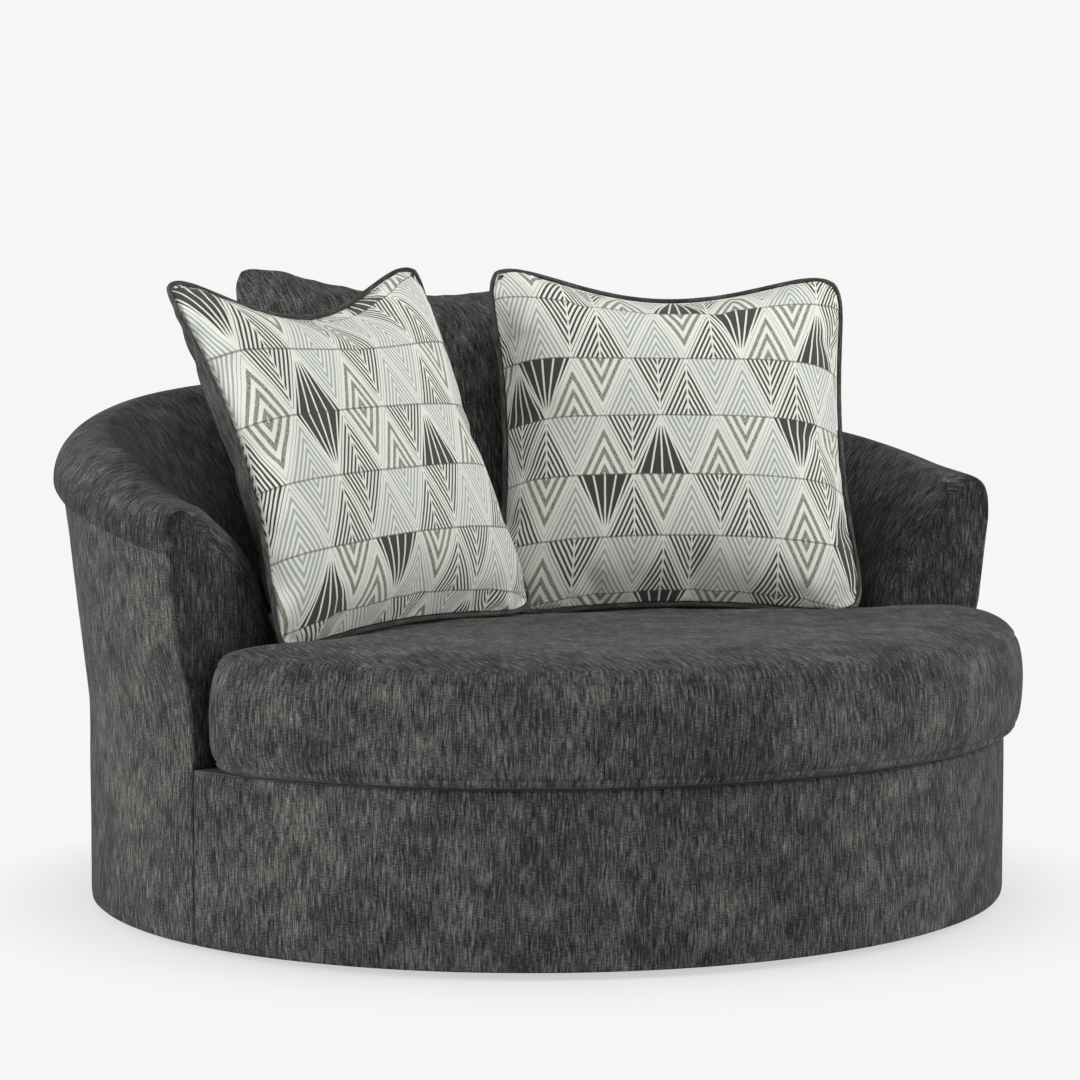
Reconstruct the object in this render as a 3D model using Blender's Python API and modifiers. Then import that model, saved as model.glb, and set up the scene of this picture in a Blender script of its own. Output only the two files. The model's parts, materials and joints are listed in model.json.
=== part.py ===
# Oversized round swivel chair: a padded barrel on a ball bearing, a loose seat cushion and three pillows.
# Metres, +Z up. The chair faces -Y, and the origin is on the floor, midway between its front and its back.

from math import asin, atan2, cos, pi, radians, sin, sqrt

import bmesh
import bpy
from mathutils import Matrix, Vector
from mathutils.bvhtree import BVHTree

# Clearances.
GAP = 0.0003              # between pieces that touch
CUSHION_CLEARANCE = 0.003 # between the seat cushion and the arms around it

# Plan of the body: two half ellipses that meet at the sides. Angles run from the back centre.
HALF_WIDTH = 0.705
FRONT_DEPTH = 0.670
BACK_DEPTH = 0.700
ARM_END = radians(104)
BARREL_STEPS = 32
FRONT_STEPS = 24

# Heights of the body.
HEM_HEIGHT = 0.010
DECK_TOP = 0.255
RIM_BACK = 0.785
RIM_SIDE = 0.726
RIM_FRONT = 0.642
RIM_SIDE_ANGLE = radians(60)

# The outside leans out above this height.
FLARE_START = 0.310
FLARE_SLOPE = 0.115

# Upholstery of the arms and back.
COVER_THICKNESS = 0.004
SEAM_DROP = 0.083         # from the top of the rim to the seam under its roll
ROLL_INSET = 0.066        # from the seam in to the middle of the roll
ROLL_PROUD = 0.013        # how far the roll stands out over the cover
ROLL_RISE = 0.073
WALL_ARM = 0.167          # wall thickness at seat level, at the arms and at the back
WALL_BACK = 0.225
WALL_FOOT = 0.410         # height where the inside starts to lean out
SLOPE_ROUNDNESS = 1.45
ROLL_STEPS = 5
SLOPE_STEPS = 8
ARM_FRONT_THICKNESS = 0.045 # of the pad that rounds an arm's end
NOSE_START = 0.430         # height where the arm's end starts to round
NOSE_OUTSIDE = 0.012       # rounding of the arm's outer edge, under the roll
NOSE_INSIDE = 0.018        # rounding of the arm's inner edge, low down

# Wooden frame.
RAIL_THICKNESS = 0.018
BASE_RAIL_HEIGHT = 0.074
BASE_RAIL_BOTTOM = 0.016
SEAT_RAIL_HEIGHT = 0.054
POST_DEPTH = 0.030
TOP_RAIL_HEIGHT = 0.030
RIM_CLEARANCE = 0.0009    # above and below the top rail, whose faces twist as the rim falls
BOARD_THICKNESS = 0.018
BOARD_WIDTH = 0.240
REAR_RAIL_THICKNESS = 0.030
REAR_RAIL_PLACE = 0.425   # from the swivel axis back to the rail that holds the springs
POST_STEPS = {"arm_post_right": 31, "side_post_right": 25, "back_post_right": 18,
              "back_post_left": 13, "side_post_left": 6, "arm_post_left": 0}
BLOCK_STEPS = {"front_block_right": 4, "front_block_middle": 11, "front_block_left": 19}

# Seat deck and springs.
DECK_THICKNESS = 0.0187
SPRING_WIRE = 0.0037
SPRING_WIDTH = 0.050
SPRING_PITCH = 0.085
SPRING_COUNT = 6
SPRING_SPACING = 0.165
SPRING_LAP = 0.012        # how far a spring lies on a rail
DUST_COVER_THICKNESS = 0.0008
DUST_COVER_HOLE = 0.155
HOLE_STEPS = 32

# Edges sharper than these stay sharp in smooth shading, on hard pieces and on soft ones.
HARD_SHADING = radians(40)
SOFT_SHADING = radians(60)

# Swivel base, from the floor up.
RING_RADIUS = 0.360
RING_TUBE = 0.022
RING_STEPS = 48
TUBE_STEPS = 8
GLIDE_COUNT = 6
GLIDE_RADIUS = 0.015
GLIDE_HEIGHT = 0.006
BAR_WIDTH = 0.036
BAR_THICKNESS = 0.005
PLATE_SIZE = 0.200
PLATE_THICKNESS = 0.0025
PLATE_CORNER = 0.012
PLATE_CORNER_STEPS = 3
PLATE_HOLE_INSET = 0.016
BALL_DIAMETER = 0.008
BALL_COUNT = 12
BALL_CIRCLE = 0.065
CAGE_WIDTH = 0.014
CAGE_THICKNESS = 0.0016
BALL_AROUND = 6
BALL_RINGS = 4
BOLT_RADIUS = 0.003
BOLT_HEAD_RADIUS = 0.006
BOLT_HEAD_HEIGHT = 0.003
BOLT_REACH = 0.012        # how far a bolt goes into the wood
BOLT_TAIL = 0.002         # how far a bolt shows under its bar
HOLE_CLEARANCE = 0.0005
PIVOT_RADIUS = 0.005
PIVOT_HEAD_RADIUS = 0.010
PIVOT_HEAD_HEIGHT = 0.004
WASHER_RADIUS = 0.012
WASHER_THICKNESS = 0.0015
NUT_RADIUS = 0.009
NUT_HEIGHT = 0.006
NUT_WELL_RADIUS = 0.016
ROUND_STEPS = 16
BOLT_STEPS = 12
CUTTER_OVERRUN = 0.005

# Seat cushion: a boxed cushion whose ears wrap the arm fronts.
CUSHION_BORDER = 0.160
CUSHION_CROWN = 0.012
CUSHION_OVERHANG = 0.030
EAR_RADIUS = 0.085
SEAM_INSET = 0.009
FRONT_POINTS = 22
EAR_POINTS = 5
NOTCH_POINTS = 3
WALL_POINTS = 12
border_shares = ((0.00, 3.0), (0.06, 1.0), (0.25, 0.2), (0.60, 0.0), (0.85, 0.8), (1.00, 2.4))
crown_shares = ((0.92, 0.25), (0.80, 0.55), (0.60, 0.85), (0.30, 1.00))

# Pillows: their sizes, and how far an edge draws in between its corners.
PILLOW_STEPS = 14
BACK_PILLOW_WIDTH = 0.685
BACK_PILLOW_HEIGHT = 0.588
BACK_PILLOW_THICKNESS = 0.230
ACCENT_PILLOW_WIDTH = 0.588
ACCENT_PILLOW_HEIGHT = 0.590
ACCENT_PILLOW_THICKNESS = 0.175
PILLOW_DRAW = 0.028
CORNER_ROUNDNESS = 9
PILLOW_ROUND = 2.3
BACK_PILLOW_DIP = 0.030
ACCENT_LEFT_DIP = 0.060
ACCENT_RIGHT_DIP = 0.036
WELT_RADIUS = 0.0045
WELT_SIDE_POINTS = 12
SETTLE_START = 0.300
SETTLE_STEP = 0.004
SETTLE_REACH = 0.120

# Where each pillow stands: the middle of its lower edge, as shares of the seat's inner half width and depth.
back_place_shares = (0.0, 0.58)
left_place_shares = (-0.540, -0.187)
right_place_shares = (0.349, -0.147)

# How each pillow is turned: about +Z, leaning back, and in its own plane.
BACK_TURN = (0.0, radians(15), 0.0)
LEFT_TURN = (radians(19.4), radians(22.9), radians(2.0))
RIGHT_TURN = (radians(-25.5), radians(21), radians(-0.5))

# The way that each pillow is lifted off.
BACK_LIFT = (0.0, 0.0, 1.0)
LEFT_LIFT = (0.0, -0.50, 0.86)
RIGHT_LIFT = (0.66, -0.50, 0.86)

# Colours: base colour, roughness, metallic.
CHENILLE = ((0.055, 0.056, 0.056), 0.95, 0.0)
PATTERN = ((0.62, 0.61, 0.57), 0.90, 0.0)
WELT = ((0.060, 0.058, 0.055), 0.90, 0.0)
CAMBRIC = ((0.020, 0.020, 0.020), 0.95, 0.0)
FELT = ((0.055, 0.055, 0.052), 0.95, 0.0)
BIRCH = ((0.56, 0.42, 0.27), 0.60, 0.0)
STEEL = ((0.05, 0.05, 0.05), 0.45, 0.0)
ZINC = ((0.55, 0.56, 0.58), 0.30, 1.0)
NYLON = ((0.04, 0.04, 0.04), 0.50, 0.0)


# The plan and the heights that the pieces share.

def plan_depth(angle):
    return BACK_DEPTH if cos(angle) > 0 else FRONT_DEPTH


def plan_normal(angle):
    """The way out from the body's plan."""
    return Vector((sin(angle) / HALF_WIDTH, cos(angle) / plan_depth(angle))).normalized()


def plan_point(angle, offset):
    """A point of the body's plan, moved out along its normal."""
    return Vector((HALF_WIDTH * sin(angle), plan_depth(angle) * cos(angle))) + plan_normal(angle) * offset


def rim_height(angle):
    """Top of the rim: a smooth fall from the back, through the side, to the arm's end."""
    along = (angle / ARM_END) ** 2
    side = (RIM_SIDE_ANGLE / ARM_END) ** 2
    from_back = (along - side) * (along - 1) / side
    from_side = along * (along - 1) / (side * (side - 1))
    from_front = along * (along - side) / (1 - side)
    return RIM_BACK * from_back + RIM_SIDE * from_side + RIM_FRONT * from_front


def seam_height(angle):
    return rim_height(angle) - SEAM_DROP


def flare(height):
    """How far the outside stands out from the plan at a height."""
    return FLARE_SLOPE * max(0.0, height - FLARE_START)


def wall_thickness(angle):
    return WALL_ARM + (WALL_BACK - WALL_ARM) * max(0.0, cos(angle)) ** 2


# Offsets from the plan, layer by layer from the outside in.
RAIL_OUTSIDE = -COVER_THICKNESS - GAP
RAIL_INSIDE = RAIL_OUTSIDE - RAIL_THICKNESS
POST_OUTSIDE = RAIL_INSIDE - GAP
POST_INSIDE = POST_OUTSIDE - POST_DEPTH
PADDING_OUTSIDE = POST_INSIDE - GAP

# Heights of the swivel and of the frame on it, from the floor up.
RING_MIDDLE = GLIDE_HEIGHT + GAP + RING_TUBE / 2
BAR_BOTTOM = RING_MIDDLE + RING_TUBE / 2 + GAP
BAR_TOP = BAR_BOTTOM + BAR_THICKNESS
LOWER_PLATE_BOTTOM = BAR_TOP + GAP
BALL_BOTTOM = LOWER_PLATE_BOTTOM + PLATE_THICKNESS + GAP
UPPER_PLATE_BOTTOM = BALL_BOTTOM + BALL_DIAMETER + GAP
BOARD_BOTTOM = UPPER_PLATE_BOTTOM + PLATE_THICKNESS + GAP
BOARD_TOP = BOARD_BOTTOM + BOARD_THICKNESS
POST_BOTTOM = BOARD_TOP + GAP
DECK_BOTTOM = DECK_TOP - DECK_THICKNESS
SPRING_MIDDLE = DECK_BOTTOM - GAP - SPRING_WIRE / 2
SEAT_RAIL_TOP = SPRING_MIDDLE - SPRING_WIRE / 2 - GAP
SEAT_RAIL_BOTTOM = SEAT_RAIL_TOP - SEAT_RAIL_HEIGHT
CUSHION_BOTTOM = DECK_TOP + GAP
CUSHION_TOP = CUSHION_BOTTOM + CUSHION_BORDER

# The swivel axis stands where the cushion's front and the roll's back lie equally far from the origin.
FRONT_REACH = FRONT_DEPTH + CUSHION_OVERHANG
BACK_REACH = BACK_DEPTH + flare(seam_height(0)) + ROLL_PROUD
AXIS_PLACE = (FRONT_REACH - BACK_REACH) / 2

# Width, height and thickness of the pillows.
back_size = (BACK_PILLOW_WIDTH, BACK_PILLOW_HEIGHT, BACK_PILLOW_THICKNESS)
accent_size = (ACCENT_PILLOW_WIDTH, ACCENT_PILLOW_HEIGHT, ACCENT_PILLOW_THICKNESS)

# Shared stations round the plan, so that neighbours have parallel facets.
PANEL_ANGLE = ARM_END - ARM_FRONT_THICKNESS / plan_point(ARM_END, 0).length
GAP_ANGLE = GAP / plan_point(ARM_END, 0).length
barrel_angles = [PANEL_ANGLE * (2 * step / BARREL_STEPS - 1) for step in range(BARREL_STEPS + 1)]
front_angles = [ARM_END + 2 * (pi - ARM_END) * step / FRONT_STEPS for step in range(FRONT_STEPS + 1)]
loop_angles = barrel_angles + front_angles
nose_shares = (0.5, 0.866, 1.0)
nose_angles = [PANEL_ANGLE + (ARM_END - PANEL_ANGLE) * share for share in nose_shares]


# Modelling helpers.

def clear_scene():
    for item in list(bpy.data.objects):
        bpy.data.objects.remove(item, do_unlink=True)


def make_material(name, look):
    colour, roughness, metallic = look
    material = bpy.data.materials.new(name)
    material.use_nodes = True
    shader = material.node_tree.nodes["Principled BSDF"]
    shader.inputs["Base Color"].default_value = (*colour, 1.0)
    shader.inputs["Roughness"].default_value = roughness
    shader.inputs["Metallic"].default_value = metallic
    material.diffuse_color = (*colour, 1.0)
    return material


def make_axis(name, parent=None):
    """An empty on the swivel axis, which carries the pieces of one body."""
    axis = bpy.data.objects.new(name, None)
    chair.objects.link(axis)
    axis.parent = parent
    if parent is None:
        axis.location = (0.0, AXIS_PLACE, 0.0)
    return axis


def add_piece(name, shape, look, parent, shading=None):
    """Links a mesh or a curve as a named piece, with a material of its own."""
    piece = bpy.data.objects.new(name, shape)
    shape.materials.append(make_material(name, look))
    chair.objects.link(piece)
    piece.parent = parent
    if shading is not None:
        shape.shade_smooth()
        shape.set_sharp_from_angle(angle=shading)
    return piece


def combine(piece, name, mesh, operation):
    """A Boolean of a piece with a hidden mesh, which moves with the piece."""
    cutter = bpy.data.objects.new(name, mesh)
    cutters.objects.link(cutter)
    cutter.parent = piece.parent
    cutter.hide_render = True
    cutter.display_type = "WIRE"
    change = piece.modifiers.new(name, "BOOLEAN")
    change.operation = operation
    change.solver = "EXACT"
    change.object = cutter


def mesh_from(points, faces):
    """A closed mesh from points and faces, with its faces turned out."""
    mesh = bpy.data.meshes.new("mesh")
    mesh.from_pydata([tuple(point) for point in points], [], faces)
    work = bmesh.new()
    work.from_mesh(mesh)
    bmesh.ops.remove_doubles(work, verts=work.verts, dist=GAP / 10)
    bmesh.ops.recalc_face_normals(work, faces=work.faces)
    work.to_mesh(mesh)
    work.free()
    return mesh


def mesh_of(work):
    """Turns the faces of a worked mesh out, and makes a mesh of it."""
    bmesh.ops.recalc_face_normals(work, faces=work.faces)
    mesh = bpy.data.meshes.new("mesh")
    work.to_mesh(mesh)
    work.free()
    return mesh


def box_mesh(size, middle, turn=0.0):
    work = bmesh.new()
    place = Matrix.Rotation(turn, 4, "Z") @ Matrix.Translation(middle) @ Matrix.Diagonal((*size, 1.0))
    bmesh.ops.create_cube(work, size=1.0, matrix=place)
    return mesh_of(work)


def cylinder_mesh(radius, bottom, top, place=(0.0, 0.0), steps=ROUND_STEPS):
    """An upright cylinder between two heights."""
    work = bmesh.new()
    middle = Matrix.Translation((*place, (bottom + top) / 2))
    bmesh.ops.create_cone(work, cap_ends=True, segments=steps, radius1=radius, radius2=radius,
                          depth=top - bottom, matrix=middle)
    return mesh_of(work)


def hole_mesh(radius, bottom, top, place=(0.0, 0.0), steps=ROUND_STEPS):
    """A cylinder for a hole, which runs past both faces."""
    return cylinder_mesh(radius, bottom - CUTTER_OVERRUN, top + CUTTER_OVERRUN, place, steps)


def raised_mesh(outline, layers):
    """A solid drawn up from a flat outline: each layer is a scale of the outline and a height."""
    work = bmesh.new()
    scale, height = layers[0]
    bottom = work.faces.new([work.verts.new((*(point * scale), height)) for point in outline])
    face = bottom
    for scale, height in layers[1:]:
        drawn = bmesh.ops.extrude_face_region(work, geom=[face])["geom"]
        if face is not bottom:
            bmesh.ops.delete(work, geom=[face], context="FACES_ONLY")
        face = next(item for item in drawn if isinstance(item, bmesh.types.BMFace))
        for vertex, point in zip(face.verts, outline):
            vertex.co = (*(point * scale), height)
    return mesh_of(work)


def flat_curve(outlines, bottom, top):
    """A flat shape with straight sides: outlines inside the first are openings."""
    curve = bpy.data.curves.new("outline", "CURVE")
    curve.dimensions = "2D"
    curve.fill_mode = "BOTH"
    curve.extrude = (top - bottom) / 2
    for outline in outlines:
        line = curve.splines.new("POLY")
        line.points.add(len(outline) - 1)
        for place, point in zip(line.points, outline):
            place.co = (*point, 0.0, 1.0)
        line.use_cyclic_u = True
    return curve


def add_flat(name, outlines, bottom, top, look, parent):
    """A piece cut from flat stock between two heights."""
    piece = add_piece(name, flat_curve(outlines, bottom, top), look, parent)
    piece.location.z = (bottom + top) / 2
    return piece


def add_turned(name, profile, look, parent, place=(0.0, 0.0), steps=ROUND_STEPS, closed=False):
    """A turned piece: its profile of radius and height pairs runs down the outside, and is screwed round."""
    work = bmesh.new()
    points = [work.verts.new((radius, 0.0, height)) for radius, height in profile]
    ends = points[1:] + points[:1] if closed else points[1:]
    for start, end in zip(points, ends):
        work.edges.new((start, end))
    mesh = bpy.data.meshes.new("profile")
    work.to_mesh(mesh)
    work.free()
    piece = add_piece(name, mesh, look, parent)
    piece.location = (*place, 0.0)
    turn = piece.modifiers.new("turn", "SCREW")
    turn.steps = steps
    turn.render_steps = steps
    turn.use_merge_vertices = True
    turn.merge_threshold = GAP / 10
    turn.use_smooth_shade = True
    return piece


def sweep_mesh(angles, section, closed=False, split=False):
    """A loft round the plan: section gives offset and height pairs. Split faces rise with the angle."""
    points = []
    for angle in angles:
        points += [(*plan_point(angle, offset), height) for offset, height in section(angle)]
    count = len(section(angles[0]))
    rings = len(angles)
    faces = []
    for ring in range(rings if closed else rings - 1):
        here = ring * count
        there = (ring + 1) % rings * count
        for low in range(count):
            high = (low + 1) % count
            face = (here + low, there + low, there + high, here + high)
            if not split:
                faces.append(face)
            elif points[face[0]][2] < points[face[3]][2]:
                faces += [(face[0], face[1], face[2]), (face[0], face[2], face[3])]
            else:
                faces += [(face[0], face[1], face[3]), (face[1], face[2], face[3])]
    if not closed:
        faces.append(tuple(range(count)))
        faces.append(tuple(range((rings - 1) * count, rings * count)))
    return mesh_from(points, faces)


def plan_ring(offset, angles=None):
    """The body's plan at an offset, at the shared stations or at some of them."""
    return [plan_point(angle, offset) for angle in angles or loop_angles]


def plan_strip(angles, outside, inside):
    """The outline of a piece that follows the plan between two offsets."""
    return plan_ring(outside, angles) + plan_ring(inside, angles)[::-1]


def plan_solid(offset, bottom, top):
    """The body's plan as a solid that runs past two heights, to trim a piece by."""
    return raised_mesh(plan_ring(offset), ((1, bottom - CUTTER_OVERRUN), (1, top + CUTTER_OVERRUN)))


# The swivel base on the floor.

def build_floor_ring():
    bpy.ops.mesh.primitive_torus_add(major_radius=RING_RADIUS, minor_radius=RING_TUBE / 2,
                                     major_segments=RING_STEPS, minor_segments=TUBE_STEPS)
    torus = bpy.context.object
    ring = add_piece("floor_ring", torus.data, STEEL, base_axis, HARD_SHADING)
    ring.location.z = RING_MIDDLE
    bpy.data.objects.remove(torus, do_unlink=True)
    for index in range(GLIDE_COUNT):
        angle = 2 * pi * index / GLIDE_COUNT
        place = (RING_RADIUS * cos(angle), RING_RADIUS * sin(angle))
        glide = cylinder_mesh(GLIDE_RADIUS, 0.0, GLIDE_HEIGHT, place)
        add_piece(f"floor_glide_{index + 1}", glide, NYLON, base_axis, HARD_SHADING)


def plate_corners():
    """Where the four bolts of a swivel plate stand."""
    reach = PLATE_SIZE / 2 - PLATE_HOLE_INSET
    return [(side * reach, end * reach) for side in (-1, 1) for end in (-1, 1)]


def drill_plate(piece, bottom, top):
    """Cuts the four bolt holes and the pivot's hole."""
    for index, place in enumerate(plate_corners()):
        hole = hole_mesh(BOLT_RADIUS + HOLE_CLEARANCE, bottom, top, place, BOLT_STEPS)
        combine(piece, f"{piece.name}_hole_{index + 1}", hole, "DIFFERENCE")
    hole = hole_mesh(PIVOT_RADIUS + HOLE_CLEARANCE, bottom, top)
    combine(piece, f"{piece.name}_pivot_hole", hole, "DIFFERENCE")


def build_base_cross():
    """Two flat bars, welded where they cross, lie on the ring under the plate's corners."""
    size = (2 * RING_RADIUS + RING_TUBE, BAR_WIDTH, BAR_THICKNESS)
    middle = (0.0, 0.0, (BAR_BOTTOM + BAR_TOP) / 2)
    cross = add_piece("base_cross", box_mesh(size, middle, pi / 4), STEEL, base_axis)
    combine(cross, "second_bar", box_mesh(size, middle, -pi / 4), "UNION")
    drill_plate(cross, BAR_BOTTOM, BAR_TOP)


def build_plate(name, bottom, axis):
    """A square swivel plate with rounded corners, four bolt holes and the pivot's hole."""
    top = bottom + PLATE_THICKNESS
    work = bmesh.new()
    work.from_mesh(box_mesh((PLATE_SIZE, PLATE_SIZE, PLATE_THICKNESS), (0.0, 0.0, (bottom + top) / 2)))
    upright = [edge for edge in work.edges if edge.verts[0].co.z != edge.verts[1].co.z]
    bmesh.ops.bevel(work, geom=upright, offset=PLATE_CORNER, segments=PLATE_CORNER_STEPS, profile=0.5,
                    affect="EDGES")
    drill_plate(add_piece(name, mesh_of(work), ZINC, axis), bottom, top)


def build_plates():
    build_plate("swivel_lower_plate", LOWER_PLATE_BOTTOM, base_axis)
    build_plate("swivel_upper_plate", UPPER_PLATE_BOTTOM, chair_axis)
    for index, place in enumerate(plate_corners()):
        seat = LOWER_PLATE_BOTTOM + PLATE_THICKNESS + GAP
        head = seat + BOLT_HEAD_HEIGHT
        tip = BAR_BOTTOM - BOLT_TAIL
        profile = ((0.0, head), (BOLT_HEAD_RADIUS, head), (BOLT_HEAD_RADIUS, seat), (BOLT_RADIUS, seat),
                   (BOLT_RADIUS, tip), (0.0, tip))
        add_turned(f"lower_plate_bolt_{index + 1}", profile, ZINC, base_axis, place, BOLT_STEPS)
        seat = UPPER_PLATE_BOTTOM - GAP
        head = seat - BOLT_HEAD_HEIGHT
        tip = BOARD_BOTTOM + BOLT_REACH
        profile = ((0.0, tip), (BOLT_RADIUS, tip), (BOLT_RADIUS, seat), (BOLT_HEAD_RADIUS, seat),
                   (BOLT_HEAD_RADIUS, head), (0.0, head))
        add_turned(f"upper_plate_bolt_{index + 1}", profile, ZINC, chair_axis, place, BOLT_STEPS)


def build_pivot():
    """The bolt that holds the two plates together, with its washer and nut in a well of the board."""
    seat = BAR_BOTTOM - GAP
    head = seat - PIVOT_HEAD_HEIGHT
    washer_bottom = UPPER_PLATE_BOTTOM + PLATE_THICKNESS + GAP
    washer_top = washer_bottom + WASHER_THICKNESS
    nut_bottom = washer_top + GAP
    nut_top = nut_bottom + NUT_HEIGHT
    tip = nut_top + BOLT_TAIL
    bore = PIVOT_RADIUS + GAP
    profile = ((0.0, tip), (PIVOT_RADIUS, tip), (PIVOT_RADIUS, seat), (PIVOT_HEAD_RADIUS, seat),
               (PIVOT_HEAD_RADIUS, head), (0.0, head))
    add_turned("pivot_bolt", profile, ZINC, base_axis)
    profile = ((WASHER_RADIUS, washer_top), (WASHER_RADIUS, washer_bottom), (bore, washer_bottom),
               (bore, washer_top))
    add_turned("pivot_washer", profile, ZINC, base_axis, closed=True)
    nut = add_piece("pivot_nut", cylinder_mesh(NUT_RADIUS, nut_bottom, nut_top, steps=6), ZINC, base_axis)
    combine(nut, "nut_bore", hole_mesh(bore, nut_bottom, nut_top), "DIFFERENCE")


def build_ball_cage():
    """A flat ring that carries the balls between the two plates."""
    middle = BALL_BOTTOM + BALL_DIAMETER / 2
    top = middle + CAGE_THICKNESS / 2
    bottom = middle - CAGE_THICKNESS / 2
    outside = BALL_CIRCLE + CAGE_WIDTH / 2
    inside = BALL_CIRCLE - CAGE_WIDTH / 2
    profile = ((outside, top), (outside, bottom), (inside, bottom), (inside, top))
    cage = add_turned("ball_cage", profile, ZINC, cage_axis, steps=4 * BALL_COUNT, closed=True)
    for index in range(BALL_COUNT):
        angle = 2 * pi * index / BALL_COUNT
        place = Matrix.Translation((BALL_CIRCLE * cos(angle), BALL_CIRCLE * sin(angle), middle))
        work = bmesh.new()
        bmesh.ops.create_uvsphere(work, u_segments=BALL_AROUND, v_segments=BALL_RINGS,
                                  radius=BALL_DIAMETER / 2,
                                  matrix=place)
        combine(cage, f"ball_{index + 1}", mesh_of(work), "UNION")


# The wooden frame.

def build_boards():
    """Boards across the bottom of the frame: one from side to side, one each to the front and the back."""
    middle = (BOARD_BOTTOM + BOARD_TOP) / 2
    mesh = box_mesh((2 * HALF_WIDTH, BOARD_WIDTH, BOARD_THICKNESS), (0.0, 0.0, middle))
    board = add_piece("mounting_board", mesh, BIRCH, chair_axis)
    combine(board, "board_trim", plan_solid(POST_OUTSIDE, BOARD_BOTTOM, BOARD_TOP), "INTERSECT")
    for index, place in enumerate(plate_corners()):
        hole = cylinder_mesh(BOLT_RADIUS + GAP, BOARD_BOTTOM - CUTTER_OVERRUN,
                             BOARD_BOTTOM + BOLT_REACH + GAP, place, BOLT_STEPS)
        combine(board, f"board_hole_{index + 1}", hole, "DIFFERENCE")
    combine(board, "nut_well", hole_mesh(NUT_WELL_RADIUS, BOARD_BOTTOM, BOARD_TOP), "DIFFERENCE")
    near = BOARD_WIDTH / 2 + GAP
    for name, way, depth in (("front_base_board", -1, FRONT_DEPTH), ("back_base_board", 1, BACK_DEPTH)):
        centre = (0.0, way * (near + depth) / 2, middle)
        mesh = box_mesh((BOARD_WIDTH, depth - near, BOARD_THICKNESS), centre)
        board = add_piece(name, mesh, BIRCH, chair_axis)
        combine(board, f"{name}_trim", plan_solid(POST_OUTSIDE, BOARD_BOTTOM, BOARD_TOP), "INTERSECT")


def build_rails():
    outlines = (plan_ring(RAIL_OUTSIDE), plan_ring(RAIL_INSIDE))
    top = BASE_RAIL_BOTTOM + BASE_RAIL_HEIGHT
    add_flat("base_rail", outlines, BASE_RAIL_BOTTOM, top, BIRCH, chair_axis)
    add_flat("seat_rail", outlines, SEAT_RAIL_BOTTOM, SEAT_RAIL_TOP, BIRCH, chair_axis)
    middle = (0.0, REAR_RAIL_PLACE, (SEAT_RAIL_BOTTOM + SEAT_RAIL_TOP) / 2)
    mesh = box_mesh((2 * HALF_WIDTH, REAR_RAIL_THICKNESS, SEAT_RAIL_HEIGHT), middle)
    rail = add_piece("rear_spring_rail", mesh, BIRCH, chair_axis)
    combine(rail, "rear_rail_trim", plan_solid(POST_OUTSIDE, SEAT_RAIL_BOTTOM, SEAT_RAIL_TOP), "INTERSECT")


def top_rail_section(angle):
    top = seam_height(angle) - RIM_CLEARANCE
    bottom = top - TOP_RAIL_HEIGHT
    return ((RAIL_OUTSIDE + flare(bottom), bottom), (RAIL_OUTSIDE + flare(bottom), top),
            (POST_INSIDE + flare(top), top), (POST_INSIDE + flare(top), bottom))


def post_section(angle):
    """A post follows the lean of the outside, up to the top rail."""
    top = seam_height(angle) - TOP_RAIL_HEIGHT - 2 * RIM_CLEARANCE
    return ((POST_OUTSIDE, POST_BOTTOM), (POST_OUTSIDE, FLARE_START), (POST_OUTSIDE + flare(top), top),
            (POST_INSIDE + flare(top), top), (POST_INSIDE, FLARE_START), (POST_INSIDE, POST_BOTTOM))


def build_posts():
    for name, step in POST_STEPS.items():
        add_piece(name, sweep_mesh(barrel_angles[step:step + 2], post_section), BIRCH, chair_axis)
    for name, step in BLOCK_STEPS.items():
        outline = plan_strip(front_angles[step:step + 2], POST_OUTSIDE, POST_INSIDE)
        add_flat(name, (outline,), POST_BOTTOM, SEAT_RAIL_TOP, BIRCH, chair_axis)
    add_piece("top_rail", sweep_mesh(barrel_angles, top_rail_section), BIRCH, chair_axis)


# Springs and deck.

def rail_reach(place):
    """How far in front of the axis the inside of the front rail lies, at a place across the chair."""
    return (FRONT_DEPTH + RAIL_INSIDE) * (1 - (place / (HALF_WIDTH + RAIL_INSIDE)) ** 2) ** 0.5


def build_springs():
    """Flat zigzag springs between the front rail and the rear rail, with a straight end on each."""
    back = REAR_RAIL_PLACE - REAR_RAIL_THICKNESS / 2
    for index in range(SPRING_COUNT):
        place = (index - (SPRING_COUNT - 1) / 2) * SPRING_SPACING
        first = SPRING_WIRE - rail_reach(abs(place) + SPRING_WIDTH / 2)
        last = back - SPRING_WIRE
        runs = 2 * round((last - first) / SPRING_PITCH)
        pitch = (last - first) / runs
        points = [(place, -rail_reach(place) - SPRING_LAP), (place, first)]
        for run in range(runs):
            way = SPRING_WIDTH / 2 if run % 2 else -SPRING_WIDTH / 2
            points.append((place + way, first + run * pitch))
            points.append((place + way, first + (run + 1) * pitch))
        points += [(place, last), (place, back + SPRING_LAP)]
        wire = bpy.data.curves.new(f"seat_spring_{index + 1}", "CURVE")
        wire.dimensions = "3D"
        line = wire.splines.new("POLY")
        line.points.add(len(points) - 1)
        for point, (x, y) in zip(line.points, points):
            point.co = (x, y, SPRING_MIDDLE, 1.0)
        wire.bevel_depth = SPRING_WIRE / 2
        wire.bevel_resolution = 0
        wire.use_fill_caps = True
        add_piece(wire.name, wire, STEEL, chair_axis)


def build_deck():
    """The padded deck fills the frame: inside the posts, and out to the band at the front."""
    outline = plan_ring(PADDING_OUTSIDE, barrel_angles) + plan_ring(RAIL_OUTSIDE, front_angles)
    add_flat("seat_deck", (outline,), DECK_BOTTOM, DECK_TOP, FELT, chair_axis)


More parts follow.
